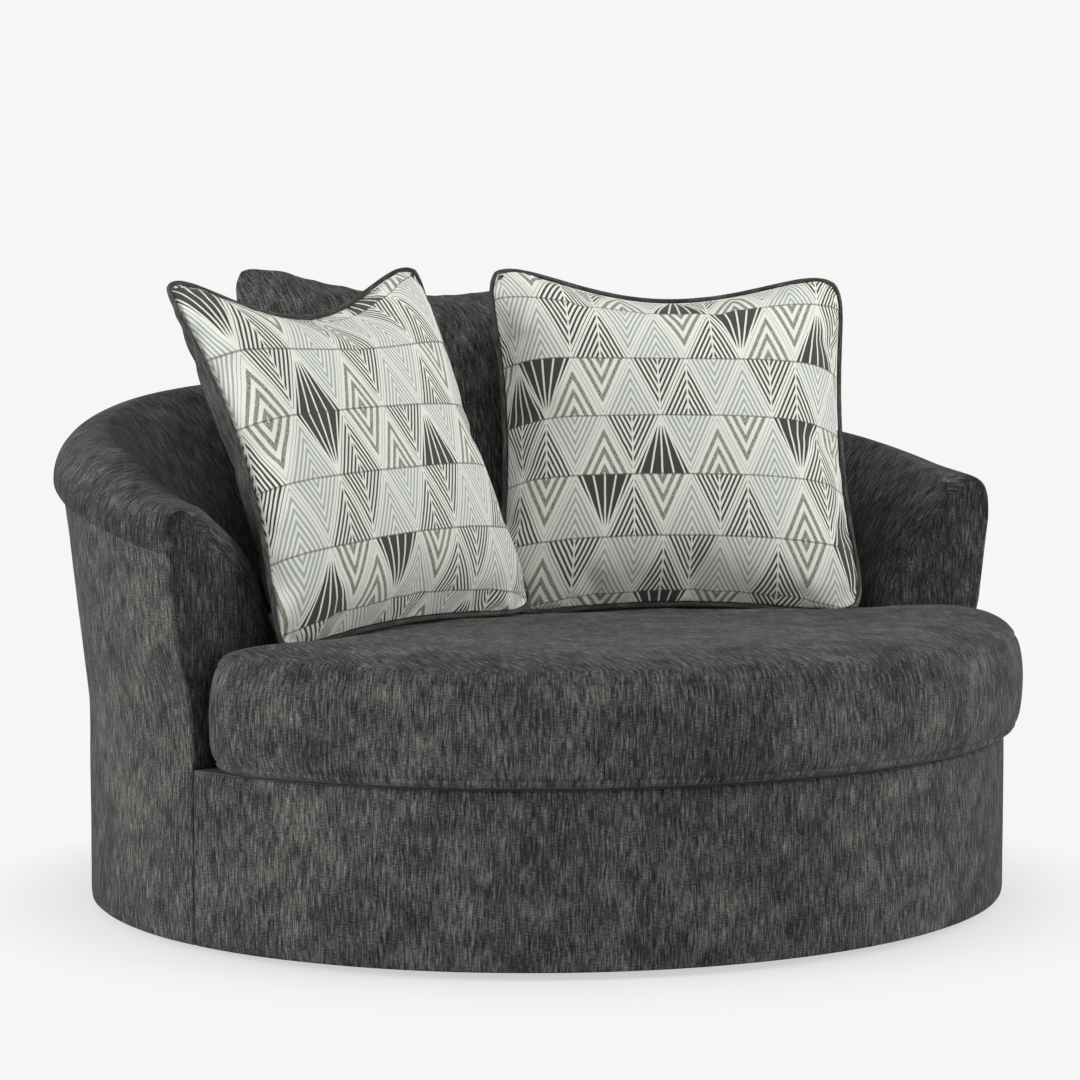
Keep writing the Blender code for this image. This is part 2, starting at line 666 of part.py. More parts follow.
def build_dust_cover():
    """A thin cloth under the frame, open round the swivel plate."""
    hole = []
    for step in range(HOLE_STEPS):
        angle = 2 * pi * step / HOLE_STEPS
        hole.append(DUST_COVER_HOLE * Vector((cos(angle), sin(angle))))
    top = BOARD_BOTTOM - GAP
    bottom = top - DUST_COVER_THICKNESS
    add_flat("dust_cover", (plan_ring(POST_OUTSIDE), hole), bottom, top, CAMBRIC, chair_axis)


# Upholstery of the barrel.

def arm_profile(angle):
    """The visible padding in section, from the seam over the roll and down the inside to the seat."""
    top = rim_height(angle)
    seam = seam_height(angle)
    middle = flare(seam) - ROLL_INSET
    width = ROLL_INSET + ROLL_PROUD
    centre = top - ROLL_RISE
    start = asin((seam - centre) / ROLL_RISE)
    points = []
    for step in range(ROLL_STEPS + 1):
        turn = start + (pi / 2 - start) * step / ROLL_STEPS
        points.append((middle + width * cos(turn), centre + ROLL_RISE * sin(turn)))
    reach = middle + wall_thickness(angle)
    for step in range(1, SLOPE_STEPS + 1):
        turn = pi / 2 * step / SLOPE_STEPS
        points.append((middle - reach * sin(turn) ** (2 / SLOPE_ROUNDNESS),
                       WALL_FOOT + (top - WALL_FOOT) * max(0.0, cos(turn)) ** (2 / SLOPE_ROUNDNESS)))
    points.append((-wall_thickness(angle), DECK_TOP + GAP))
    return points


def padding_section(angle):
    """The padding rests on the top rail and runs down inside the posts to the deck."""
    seam = seam_height(angle)
    back = [(PADDING_OUTSIDE, DECK_TOP + GAP), (PADDING_OUTSIDE, FLARE_START)]
    back.append((PADDING_OUTSIDE + flare(seam), seam))
    return arm_profile(angle) + back


def end_radius(height, low, high):
    """The rounding of an arm's end grows with the height, up to the seam under the roll."""
    share = (height - NOSE_START) / (RIM_FRONT - SEAM_DROP - NOSE_START)
    return low + (high - low) * min(1.0, max(0.0, share))


def end_inset(angle, radius):
    """How far the rounded end of an arm draws a surface in, at an angle of the plan."""
    depth = max(0.0, radius - (ARM_END - abs(angle)) * plan_point(ARM_END, 0).length)
    return radius - sqrt(max(0.0, radius ** 2 - depth ** 2))


def arm_side(angle, offset, top):
    """An upright line of an arm's outside, from low to high, drawn in at the arm's end."""
    heights = (DECK_TOP + GAP, FLARE_START, NOSE_START, top)
    insets = [end_inset(angle, end_radius(height, 0.0, NOSE_OUTSIDE)) for height in heights]
    return [(offset + flare(height) - inset, height) for height, inset in zip(heights, insets)]


def arm_front_section(angle):
    """The pad that closes an arm's front reaches out to the cover."""
    profile = [Vector(point) for point in arm_profile(angle)]
    points = []
    for index, point in enumerate(profile):
        along = profile[min(index + 1, len(profile) - 1)] - profile[max(index - 1, 0)]
        inward = Vector((-along.y, along.x)).normalized()
        full = NOSE_OUTSIDE + (ARM_FRONT_THICKNESS - NOSE_OUTSIDE) * min(1.0, index / ROLL_STEPS)
        points.append(point + inward * end_inset(angle, end_radius(point.y, NOSE_INSIDE, full)))
    points[0].y = seam_height(angle)
    return points + arm_side(angle, RAIL_OUTSIDE, seam_height(angle))


def cover_section(angle):
    top = seam_height(angle) - GAP
    outer = [(0.0, HEM_HEIGHT)] + arm_side(angle, 0.0, top)[1:]
    return outer + [(offset - COVER_THICKNESS, height) for offset, height in reversed(outer)]


def build_upholstery():
    padding = sweep_mesh(barrel_angles, padding_section)
    add_piece("inside_upholstery", padding, CHENILLE, chair_axis, HARD_SHADING)
    right = [PANEL_ANGLE + GAP_ANGLE] + nose_angles
    left = [-angle for angle in reversed(right)]
    for name, stations in (("arm_front_right", right), ("arm_front_left", left)):
        pad = sweep_mesh(stations, arm_front_section, split=True)
        add_piece(name, pad, CHENILLE, chair_axis, SOFT_SHADING)
    angles = left[:-1] + barrel_angles + nose_angles
    cover = sweep_mesh(angles, cover_section, split=True)
    add_piece("outside_cover", cover, CHENILLE, chair_axis, HARD_SHADING)
    ends = [ARM_END + GAP_ANGLE] + front_angles[1:-1] + [front_angles[-1] - GAP_ANGLE]
    band = plan_strip(ends, 0.0, -COVER_THICKNESS)
    add_flat("front_band", (band,), HEM_HEIGHT, DECK_TOP, CHENILLE, chair_axis)


# The seat cushion.

def cushion_outline():
    """Right half of the cushion's plan, from the front centre round ear and arm to the back centre."""
    ray = plan_normal(ARM_END)
    forward = Vector((ray.y, -ray.x))
    face = plan_point(ARM_END, 0.0) + forward * CUSHION_CLEARANCE
    low = ARM_END
    high = pi
    for _ in range(40):
        middle = (low + high) / 2
        centre = plan_point(middle, CUSHION_OVERHANG - EAR_RADIUS)
        if (centre - face).dot(forward) > EAR_RADIUS:
            high = middle
        else:
            low = middle
    front_angles = [pi + (high - pi) * step / FRONT_POINTS for step in range(FRONT_POINTS)]
    points = [plan_point(angle, CUSHION_OVERHANG) for angle in front_angles]
    out = plan_normal(high)
    start = atan2(out.y, out.x)
    end = atan2(-forward.y, -forward.x)
    for step in range(EAR_POINTS + 1):
        turn = start + (end - start) * step / EAR_POINTS
        points.append(centre + EAR_RADIUS * Vector((cos(turn), sin(turn))))
    inner = plan_point(ARM_END, -WALL_ARM - CUSHION_CLEARANCE) + forward * CUSHION_CLEARANCE
    outer = points[-1]
    points += [outer.lerp(inner, step / NOTCH_POINTS) for step in range(1, NOTCH_POINTS + 1)]
    for step in range(1, WALL_POINTS + 1):
        angle = ARM_END * (1 - step / WALL_POINTS)
        points.append(plan_point(angle, -wall_thickness(angle) - CUSHION_CLEARANCE))
    return points


def build_seat_cushion():
    """The outline is drawn up in layers: up the border, in over the piped edge, and over the crown."""
    half = cushion_outline()
    outline = half + [Vector((-point.x, point.y)) for point in half[-2:0:-1]]
    widest = max(point.length for point in outline)
    layers = [(1 - inset * SEAM_INSET / widest, CUSHION_BOTTOM + share * CUSHION_BORDER)
              for share, inset in border_shares]
    layers += [(scale, CUSHION_TOP + share * CUSHION_CROWN) for scale, share in crown_shares]
    add_piece("seat_cushion", raised_mesh(outline, layers), CHENILLE, cushion_axis, SOFT_SHADING)


# Pillows.

def rim_point(size, dip, across, up):
    """Middle plane of a pillow: edges draw in between the corners, and the top edge dips."""
    ring = max(abs(across), abs(up))
    rounding = 1.0
    if ring > 0:
        spread = abs(across) ** CORNER_ROUNDNESS + abs(up) ** CORNER_ROUNDNESS
        rounding = ring / spread ** (1 / CORNER_ROUNDNESS)
    x = size[0] / 2 * across * rounding - PILLOW_DRAW * across * abs(across) * (1 - up ** 2)
    y = size[1] / 2 * (1 + up * rounding) - PILLOW_DRAW * up * abs(up) * (1 - across ** 2)
    y -= dip * (1 - across ** 2) ** 2 * max(0.0, up) ** 2
    return x, y


def pillow_mesh(size, dip):
    """Two grids swelled into crowned faces and welded at the rim. The lower edge's middle is the origin."""
    work = bmesh.new()
    for face in (-1, 1):
        grid = bmesh.ops.create_grid(work, x_segments=PILLOW_STEPS, y_segments=PILLOW_STEPS, size=1.0)
        for vertex in grid["verts"]:
            across = sin(pi / 2 * vertex.co.x)
            up = sin(pi / 2 * vertex.co.y)
            swell = ((1 - abs(across) ** PILLOW_ROUND) * (1 - abs(up) ** PILLOW_ROUND)) ** 0.5
            x, y = rim_point(size, dip, across, up)
            vertex.co = (x, face * size[2] / 2 * swell, y)
    bmesh.ops.remove_doubles(work, verts=work.verts, dist=GAP / 10)
    return mesh_of(work)


def welt_curve(size, dip):
    """A cord round the rim, just clear of it."""
    stops = [sin(pi * (step / WELT_SIDE_POINTS - 0.5)) for step in range(WELT_SIDE_POINTS)]
    around = [(stop, -1) for stop in stops] + [(1, stop) for stop in stops]
    around += [(-stop, 1) for stop in stops] + [(-1, -stop) for stop in stops]
    rim = [Vector(rim_point(size, dip, across, up)) for across, up in around]
    cord = bpy.data.curves.new("cord", "CURVE")
    cord.dimensions = "3D"
    cord.bevel_depth = WELT_RADIUS
    cord.bevel_resolution = 1
    line = cord.splines.new("POLY")
    line.points.add(len(rim) - 1)
    line.use_cyclic_u = True
    for index, place in enumerate(line.points):
        along = (rim[(index + 1) % len(rim)] - rim[index - 1]).normalized()
        middle = rim[index] + Vector((along.y, -along.x)) * (WELT_RADIUS + 2 * GAP)
        place.co = (middle.x, 0.0, middle.y, 1.0)
    return cord


def stand(place_shares, turns):
    """Where a pillow starts: its lower edge on the seat, turned and leaning back."""
    across, back = place_shares
    place = (across * (HALF_WIDTH - WALL_ARM), back * (BACK_DEPTH - WALL_BACK), CUSHION_TOP)
    turn, lean, roll = turns
    turned = Matrix.Rotation(turn, 4, "Z") @ Matrix.Rotation(-lean, 4, "X") @ Matrix.Rotation(-roll, 4, "Y")
    return Matrix.Translation(place) @ turned


def surface(mesh, matrix, grow=0.0):
    """A search tree of a mesh in the chair's frame, swollen by a clearance."""
    points = [matrix @ (vertex.co + vertex.normal * grow) for vertex in mesh.vertices]
    return BVHTree.FromPolygons(points, [tuple(face.vertices) for face in mesh.polygons])


def settle(pieces, matrix, lift, neighbours):
    """Slides pieces in along their lift until they touch a neighbour, and gives the matrix there."""
    way = Vector(lift).normalized()
    meshes = [bpy.data.meshes.new_from_object(piece) for piece in pieces]

    def hits(distance):
        moved = Matrix.Translation(way * distance) @ matrix
        trees = [surface(mesh, moved, GAP) for mesh in meshes]
        return any(tree.overlap(other) for tree in trees for other in neighbours)

    clear = SETTLE_START
    while clear - SETTLE_STEP > -SETTLE_REACH and not hits(clear - SETTLE_STEP):
        clear -= SETTLE_STEP
    blocked = clear - SETTLE_STEP
    while clear - blocked > GAP / 10:
        middle = (clear + blocked) / 2
        if hits(middle):
            blocked = middle
        else:
            clear = middle
    return Matrix.Translation(way * clear) @ matrix


def tree_of(piece, matrix=Matrix.Identity(4)):
    """A search tree of a finished piece, in the chair's frame."""
    return surface(bpy.data.meshes.new_from_object(piece), matrix)


def build_pillows():
    walls = [tree_of(bpy.data.objects[name])
             for name in ("seat_cushion", "inside_upholstery", "arm_front_left", "arm_front_right")]
    back = add_piece("back_pillow", pillow_mesh(back_size, BACK_PILLOW_DIP), CHENILLE, back_axis,
                     SOFT_SHADING)
    back.matrix_basis = settle([back], stand(back_place_shares, BACK_TURN), BACK_LIFT, walls)
    walls.append(tree_of(back, back.matrix_basis))
    sides = (("right", ACCENT_RIGHT_DIP, right_place_shares, RIGHT_TURN, RIGHT_LIFT, right_axis),
             ("left", ACCENT_LEFT_DIP, left_place_shares, LEFT_TURN, LEFT_LIFT, left_axis))
    for side, dip, shares, turns, lift, axis in sides:
        pillow = add_piece(f"accent_pillow_{side}", pillow_mesh(accent_size, dip), PATTERN, axis,
                           SOFT_SHADING)
        welt = add_piece(f"accent_welt_{side}", welt_curve(accent_size, dip), WELT, axis)
        place = settle([pillow, welt], stand(shares, turns), lift, walls)
        for piece in (pillow, welt):
            piece.matrix_basis = place
            walls.append(tree_of(piece, place))


clear_scene()
chair = bpy.data.collections.new("swivel_accent_chair")
cutters = bpy.data.collections.new("cutters")
bpy.context.scene.collection.children.link(chair)
bpy.context.scene.collection.children.link(cutters)

base_axis = make_axis("base_axis")
cage_axis = make_axis("cage_axis")
chair_axis = make_axis("chair_axis")
cushion_axis = make_axis("cushion_axis", chair_axis)
back_axis = make_axis("back_pillow_axis", cushion_axis)
left_axis = make_axis("left_pillow_axis", cushion_axis)
right_axis = make_axis("right_pillow_axis", cushion_axis)

build_floor_ring()
build_base_cross()
build_plates()
build_pivot()
build_ball_cage()
build_boards()
build_rails()
build_posts()
build_springs()
build_deck()
build_dust_cover()
build_upholstery()
build_seat_cushion()
build_pillows()
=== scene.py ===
# %% [markdown]
# # A round swivel chair in chenille
# This lesson dresses a plain solid model of a chair: a padded barrel that turns on a hidden steel base,
# a loose seat cushion, a back pillow, and two accent pillows with a welt. The solid model stays where it
# is. Each soft piece is made again with its seams and folds, and rides on the body that carries it.

import json
from math import cos, pi, radians, sin

import bmesh
import bpy
import numpy as np
from mathutils import Matrix, Vector, noise
from mathutils.bvhtree import BVHTree
from mathutils.geometry import delaunay_2d_cdt


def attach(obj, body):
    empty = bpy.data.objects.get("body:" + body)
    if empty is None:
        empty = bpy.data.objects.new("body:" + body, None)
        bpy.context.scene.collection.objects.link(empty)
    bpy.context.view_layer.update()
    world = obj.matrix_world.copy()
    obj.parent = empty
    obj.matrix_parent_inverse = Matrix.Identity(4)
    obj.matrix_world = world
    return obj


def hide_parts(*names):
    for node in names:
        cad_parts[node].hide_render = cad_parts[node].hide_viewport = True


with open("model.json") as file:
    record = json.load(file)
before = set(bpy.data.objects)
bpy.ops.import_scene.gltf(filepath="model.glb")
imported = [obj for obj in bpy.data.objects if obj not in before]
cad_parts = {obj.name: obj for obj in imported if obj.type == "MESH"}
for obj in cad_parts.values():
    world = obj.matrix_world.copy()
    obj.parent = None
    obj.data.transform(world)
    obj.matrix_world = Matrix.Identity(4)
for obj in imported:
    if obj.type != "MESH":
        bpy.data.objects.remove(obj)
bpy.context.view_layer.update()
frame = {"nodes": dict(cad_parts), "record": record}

# %% [markdown]
# ## Measures
# A fabric cover follows the shape under it, so the cover and the solid share a plan: two half ellipses
# that meet at the sides. Angles run from the middle of the back, and the arms end at 104 degrees. The
# swivel axis stands a little in front of the model's middle. All lengths are in metres.

# %% Plan and heights of the body
AXIS_Y = -0.02904
HALF_WIDTH = 0.705
FRONT_DEPTH = 0.670
BACK_DEPTH = 0.700
ARM_END = radians(104)
DECK = 0.2553
FLARE_START = 0.310
FLARE_SLOPE = 0.115
SEAM_DROP = 0.083
WALL_FOOT = 0.410
WALL = 0.167


def pairs(first, second):
    """Two columns of numbers, where one of them may be a single number."""
    return np.stack(np.broadcast_arrays(first, second), -1)


def unit(ways):
    """The same ways, each of length one."""
    return ways / np.linalg.norm(ways, axis=-1, keepdims=True)


def plan_depth(angle):
    return np.where(np.cos(angle) > 0, BACK_DEPTH, FRONT_DEPTH)


def plan_normal(angle):
    """The way out from the plan, as an array of two columns."""
    return unit(pairs(np.sin(angle) / HALF_WIDTH, np.cos(angle) / plan_depth(angle)))


def plan_point(angle, offset):
    """Points of the plan, moved out along its normal."""
    middle = pairs(HALF_WIDTH * np.sin(angle), plan_depth(angle) * np.cos(angle) + AXIS_Y)
    return middle + plan_normal(angle) * np.asarray(offset)[..., None]


def rim_height(angle):
    """The rim falls from the back, through the sides, to the arm ends."""
    along = (angle / ARM_END) ** 2
    side = (radians(60) / ARM_END) ** 2
    back = (along - side) * (along - 1) / side
    middle = along * (along - 1) / (side * (side - 1))
    front = along * (along - side) / (1 - side)
    return 0.785 * back + 0.726 * middle + 0.642 * front


def flare(height):
    return FLARE_SLOPE * np.maximum(0.0, height - FLARE_START)


def wall_thickness(angle):
    return WALL + 0.058 * np.maximum(0.0, np.cos(angle)) ** 2


print("rim at the back, side and arm end:", [round(float(rim_height(radians(a))), 3) for a in (0, 60, 104)])

# %% [markdown]
# ## Shader sums in Python
# A procedural material is a graph of nodes, and linked one by one even a short formula takes a page. A
# small class that wraps a socket and overloads the operators lets a formula be written as one, and adds
# the Math nodes itself. Colours stay with Mix nodes, which keep all three channels.

# %% A socket that takes part in sums, and a finish that makes nodes
def link_or_set(tree, socket, value):
    if isinstance(value, Sum):
        tree.links.new(value.socket, socket)
    elif isinstance(value, bpy.types.NodeSocket):
        tree.links.new(value, socket)
    elif socket.type == "RGBA" and len(value) == 3:
        socket.default_value = (*value, 1.0)
    else:
        socket.default_value = value


def operator(name, turned=False):
    """A method of Sum that adds one Math node. Turned swaps the two values, as in 1 - x."""
    def act(self, *other):
        return self.math(name, *((*other, self) if turned else (self, *other)))
    return act


class Sum:
    """A number that a shader works out at each point."""

    def __init__(self, tree, socket):
        self.tree = tree
        self.socket = socket

    def math(self, operation, *values, clamp=False):
        node = self.tree.nodes.new("ShaderNodeMath")
        node.operation = operation
        node.use_clamp = clamp
        for socket, value in zip(node.inputs, values):
            link_or_set(self.tree, socket, value)
        return Sum(self.tree, node.outputs[0])

    __add__ = __radd__ = operator("ADD")
    __sub__ = operator("SUBTRACT")
    __rsub__ = operator("SUBTRACT", turned=True)
    __mul__ = __rmul__ = operator("MULTIPLY")
    __truediv__ = operator("DIVIDE")
    __mod__ = operator("FLOORED_MODULO")
    __abs__ = operator("ABSOLUTE")
    __lt__ = operator("LESS_THAN")
    __gt__ = operator("GREATER_THAN")
    floor = operator("FLOOR")
    either = operator("MAXIMUM")
    sine = operator("SINE")
    root = operator("SQRT")

    def clamp(self):
        return self.math("ADD", self, 0.0, clamp=True)

    def step(self, low, high):
        """Rises from 0 to 1 between two values."""
        return ((self - low) / (high - low)).clamp()


class Finish:
    """A material whose nodes are made by one method."""

    def __init__(self, name):
        self.material = bpy.data.materials.new(name)
        self.material.use_nodes = True
        self.tree = self.material.node_tree
        self.shader = self.tree.nodes["Principled BSDF"]

    def node(self, kind, sockets=(), settings=(), output=0):
        """Makes a node with its sockets and settings. A ramp's stops are pairs of place and colour."""
        node = self.tree.nodes.new(kind)
        for key, value in dict(settings).items():
            if key == "stops":
                ramp = node.color_ramp.elements
                while len(ramp) < len(value):
                    ramp.new(1.0)
                for stop, (place, colour) in zip(ramp, value):
                    stop.position = place
                    stop.color = (*colour, 1.0)
            else:
                setattr(node, key, value)
        for key, value in dict(sockets).items():
            link_or_set(self.tree, node.inputs[key], value)
        return Sum(self.tree, node.outputs[output])

    def vector(self, x, y, z=0.0):
        return self.node("ShaderNodeCombineXYZ", {"X": x, "Y": y, "Z": z})

    def split(self, vector):
        """The three channels of a vector."""
        node = self.node("ShaderNodeSeparateXYZ", {"Vector": vector}).socket.node
        return [Sum(self.tree, channel) for channel in node.outputs]

    def cloth(self):
        """Place on the cloth in metres: across the warp, and along it."""
        return self.split(self.node("ShaderNodeUVMap", settings={"uv_map": "cloth"}))[:2]

    def place(self):
        return self.node("ShaderNodeTexCoord", output=3)

    def facing_up(self):
        """Height part of the surface's normal: 1 where it faces up, 0 where it is upright."""
        return self.split(self.node("ShaderNodeNewGeometry", output=1))[2]

    def noise(self, where, detail=2.0, roughness=0.5, scale=1.0):
        sockets = {"Vector": where, "Scale": scale, "Detail": detail, "Roughness": roughness}
        return self.node("ShaderNodeTexNoise", sockets)

    def mix(self, share, first, second):
        """Blends two colours."""
        return self.node("ShaderNodeMix", {0: share, 6: first, 7: second}, {"data_type": "RGBA"}, 2)

    def bump(self, height, distance, strength=1.0):
        return self.node("ShaderNodeBump", {"Height": height, "Distance": distance, "Strength": strength})

    def set(self, **values):
        """Sets or links sockets of the shader, named with underscores for spaces."""
        for key, value in values.items():
            link_or_set(self.tree, self.shader.inputs[key.replace("_", " ")], value)
        return self.material


print("shader helpers ready")

# %% [markdown]
# ## Chenille
# Chenille yarn has a short pile that stands out all round it. In an upholstery weave the yarns run up
# and down in broken, heathered streaks, darker where the pile is pressed flat and lighter where it
# stands. Four noises, three of them stretched along one thread, make those streaks; two slow ones make
# the pressed patches. The pile catches light at its edges, which is what the sheen is for. The cloth
# inside the barrel gets painted shade: its colour is darker where it stands upright.

# %% Chenille finish
CHARCOAL = ((0.011, 0.011, 0.011), (0.036, 0.037, 0.035), (0.105, 0.109, 0.100))
CHARCOAL_WELT = ((0.020, 0.020, 0.020), (0.046, 0.047, 0.044), (0.095, 0.098, 0.090))


def chenille(name, tones, sheen=0.05, upright=0.0):
    """Tones are dark, middle and light. Upright is how much painted shade darkens the colour of upright
    cloth.
    """
    finish = Finish(name)
    dark, middle, light = tones
    across, along = finish.cloth()
    drift = (finish.noise(finish.vector(across * 22.0, along * 22.0, 11.0), 2.0) - 0.5) * 0.006
    warp = across + drift
    fine = finish.noise(finish.vector(warp * 560.0, along * 46.0), 2.0, 0.6)
    broad = finish.noise(finish.vector(warp * 260.0, along * 24.0, 3.0), 3.0, 0.6)
    weft = finish.noise(finish.vector(across * 110.0, along * 620.0, 7.0), 2.0, 0.55)
    grain = finish.noise(finish.vector(across * 900.0, along * 800.0, 5.0), 1.0, 0.5)
    patch = finish.noise(finish.place(), 3.0, 0.6, scale=8.0)
    crush = finish.noise(finish.place(), 2.0, 0.5, scale=27.0)
    streak = fine * 0.34 + broad * 0.28 + weft * 0.20 + grain * 0.18
    tone = streak + (patch - 0.5) * 0.10 + (crush - 0.5) * 0.11
    # Painted shade: upright cloth is coloured darker by the given amount.
    if upright:
        tone = tone - (1.0 - finish.facing_up().step(0.10, 0.60)) * upright
    lint = tuple(1.75 * c for c in light)
    stops = ((0.405, dark), (0.485, middle), (0.560, light), (0.635, lint))
    colour = finish.node("ShaderNodeValToRGB", {"Fac": tone}, {"stops": stops})
    bump = finish.bump(streak * 0.8 + crush * 0.3, 0.0018, 0.8)
    return finish.set(Base_Color=colour, Roughness=0.95, Normal=bump, Specular_IOR_Level=0.08,
                      Sheen_Weight=sheen, Sheen_Roughness=0.35, Sheen_Tint=(0.80, 0.84, 0.80))


body_chenille = chenille("chenille", CHARCOAL)
welt_chenille = chenille("welt_chenille", CHARCOAL_WELT, sheen=0.06)
# The padding's chenille, with painted shade on upright cloth.
painted_shade_chenille = chenille("painted_shade_chenille", CHARCOAL, upright=0.036)
print("chenille nodes:", len(body_chenille.node_tree.nodes))

# %% [markdown]
# ## Jacquard
# The accent pillows are a woven jacquard of nested triangles. The plane is cut in rows, and each row in
# triangles that point up and down by turns, so every two that share a base make a diamond. Inside a
# triangle the distance to its slanted sides makes nested chevrons, and the share across it makes lines
# that fan from its tip. Which of the four fillings a triangle has comes from its row and column, in a
# layout of our own.

# %% Jacquard finish
TRIANGLE_WIDTH = 0.088
ROW_HEIGHT = 0.094


def jacquard():
    finish = Finish("jacquard")
    across, along = finish.cloth()
    wander = finish.noise(finish.vector(across * 60.0, along * 60.0), 2.0)
    row_place = along / ROW_HEIGHT + 0.27 + (wander - 0.5) * 0.010
    row = row_place.floor()
    rise = row_place - row
    column_place = across / TRIANGLE_WIDTH + (row % 2.0) * 0.5 + (wander - 0.5) * 0.012
    column = column_place.floor()
    off_middle = abs(column_place - column - 0.5) * 2.0
    up = (off_middle + rise) < 1.0
    down = 1.0 - up
    side = up * (1.0 - rise - off_middle) + down * (off_middle + rise - 1.0)
    span = up * (1.0 - rise) + down * rise
    from_middle = up * off_middle + down * (1.0 - off_middle)
    fan = from_middle / span.either(0.02)
    half = (column_place + 0.5).floor()
    pick = (up * (column * 4.0 + row * 3.0 + 1.0) + down * (half * 5.0 + row * 7.0 + 4.0)) % 9.0
    fine_lines = ((side * 6.0) % 1.0) > 0.48
    wide_lines = ((side * 3.4 + 0.25) % 1.0) > 0.48
    fan_lines = (abs((fan * 2.5 + 0.5) % 1.0 - 0.5) * span) < 0.085
    spine = from_middle < 0.030
    edge = side < 0.050
    thread = finish.noise(finish.vector(across * 1300.0, along * 240.0), 2.0, 0.6)
    slub = finish.noise(finish.vector(across * 240.0, along * 1500.0, 2.0), 2.0, 0.6)
    cream = finish.mix(thread, (0.65, 0.66, 0.59), (0.90, 0.91, 0.83))
    charcoal = finish.mix(slub, (0.026, 0.028, 0.022), (0.075, 0.077, 0.064))
    taupe = finish.mix(((slub - 0.44) * 6.0).clamp(), (0.115, 0.115, 0.092), (0.50, 0.50, 0.42))
    mist = finish.mix(thread, (0.27, 0.30, 0.30), (0.50, 0.53, 0.53))
    colour = finish.mix(fan_lines, charcoal, cream)
    fillings = ((0.5, fine_lines, charcoal), (3.5, wide_lines, taupe), (5.5, fine_lines, mist))
    for least, lines, under in fillings:
        colour = finish.mix(pick > least, colour, finish.mix(lines, under, cream))
    level = rise.either(1.0 - rise) > 0.985
    colour = finish.mix(edge.either(spine * (pick < 3.5)), colour, cream)
    colour = finish.mix(level * 0.55, colour, charcoal)
    weave = (across * (2 * pi / 0.0013)).sine() * (along * (2 * pi / 0.0016)).sine()
    bump = finish.bump(weave * 0.25 + thread + slub + fine_lines * 0.6 + level * 0.8, 0.0009, 0.7)
    return finish.set(Base_Color=colour, Roughness=0.86, Normal=bump, Sheen_Weight=0.10, Sheen_Roughness=0.5,
                      Specular_IOR_Level=0.25)


pillow_jacquard = jacquard()
print("jacquard nodes:", len(pillow_jacquard.node_tree.nodes))

# %% [markdown]
# ## Finishes of the frame and the base
# These pieces show when the chair is turned over: birch plywood with its plies on the cut edges, black
# lacquered steel, zinc plate, moulded nylon, felt, and a thin black dust cloth.

# %% Plywood, steel, zinc, nylon, felt and dust cloth
def plywood():
    finish = Finish("birch_plywood")
    x, y, z = finish.split(finish.place())
    figure = finish.noise(finish.vector(x * 14.0, y * 130.0, z * 14.0), 4.0, 0.6)
    fleck = finish.noise(finish.vector(x * 90.0, y * 900.0, z * 90.0), 2.0)
    ply = (z * (2 * pi / 0.0036)).sine().step(-0.3, 0.3)
    face = finish.mix(figure.step(0.35, 0.7), (0.62, 0.45, 0.27), (0.40, 0.26, 0.14))
    face = finish.mix(fleck.step(0.60, 0.75) * 0.5, face, (0.26, 0.16, 0.09))
    edge = finish.mix(ply, (0.58, 0.42, 0.25), (0.27, 0.17, 0.095))
    colour = finish.mix(abs(finish.facing_up()).step(0.5, 0.8), edge, face)
    return finish.set(Base_Color=colour, Roughness=0.55 + figure * 0.2,
                      Normal=finish.bump(figure + fleck * 0.4, 0.0006, 0.5))


def lacquered_steel():
    finish = Finish("black_steel")
    peel = finish.noise(finish.place(), 2.0, scale=420.0)
    wear = finish.noise(finish.place(), 5.0, 0.7, scale=38.0).step(0.62, 0.72)
    colour = finish.mix(wear, (0.018, 0.018, 0.019), (0.055, 0.054, 0.052))
    return finish.set(Base_Color=colour, Metallic=0.0, Roughness=0.36 + wear * 0.25,
                      Normal=finish.bump(peel, 0.0004, 0.35))


def zinc_plate():
    finish = Finish("zinc_plate")
    cloud = finish.noise(finish.place(), 4.0, 0.65, scale=55.0)
    brushed = finish.noise(finish.place(), 2.0, scale=900.0)
    colour = finish.mix(cloud.step(0.35, 0.7), (0.62, 0.62, 0.60), (0.40, 0.42, 0.44))
    return finish.set(Base_Color=colour, Metallic=1.0, Roughness=0.26 + cloud * 0.25,
                      Normal=finish.bump(brushed, 0.0002, 0.3))


def moulded_nylon():
    finish = Finish("moulded_nylon")
    spark = finish.noise(finish.place(), 3.0, scale=800.0)
    scuff = finish.noise(finish.place(), 5.0, 0.7, scale=120.0).step(0.55, 0.75)
    colour = finish.mix(scuff, (0.030, 0.030, 0.030), (0.085, 0.083, 0.080))
    return finish.set(Base_Color=colour, Roughness=0.48 + scuff * 0.3,
                      Normal=finish.bump(spark, 0.0003, 0.4))


def pressed_felt():
    finish = Finish("pressed_felt")
    lint = finish.noise(finish.place(), 5.0, 0.75, scale=260.0)
    tuft = finish.noise(finish.place(), 3.0, scale=24.0)
    colour = finish.mix(lint.step(0.35, 0.68), (0.030, 0.030, 0.028), (0.075, 0.074, 0.070))
    return finish.set(Base_Color=colour, Roughness=0.97, Normal=finish.bump(lint + tuft, 0.0015, 0.7))


def dust_cloth():
    finish = Finish("dust_cloth")
    dots = finish.node("ShaderNodeTexVoronoi", {"Vector": finish.place(), "Scale": 700.0})
    crumple = finish.noise(finish.place(), 3.0, scale=12.0)
    colour = finish.mix(dots.step(0.15, 0.4), (0.028, 0.028, 0.030), (0.012, 0.012, 0.013))
    return finish.set(Base_Color=colour, Roughness=0.9,
                      Normal=finish.bump(crumple * 4.0 + dots, 0.0012, 0.6))


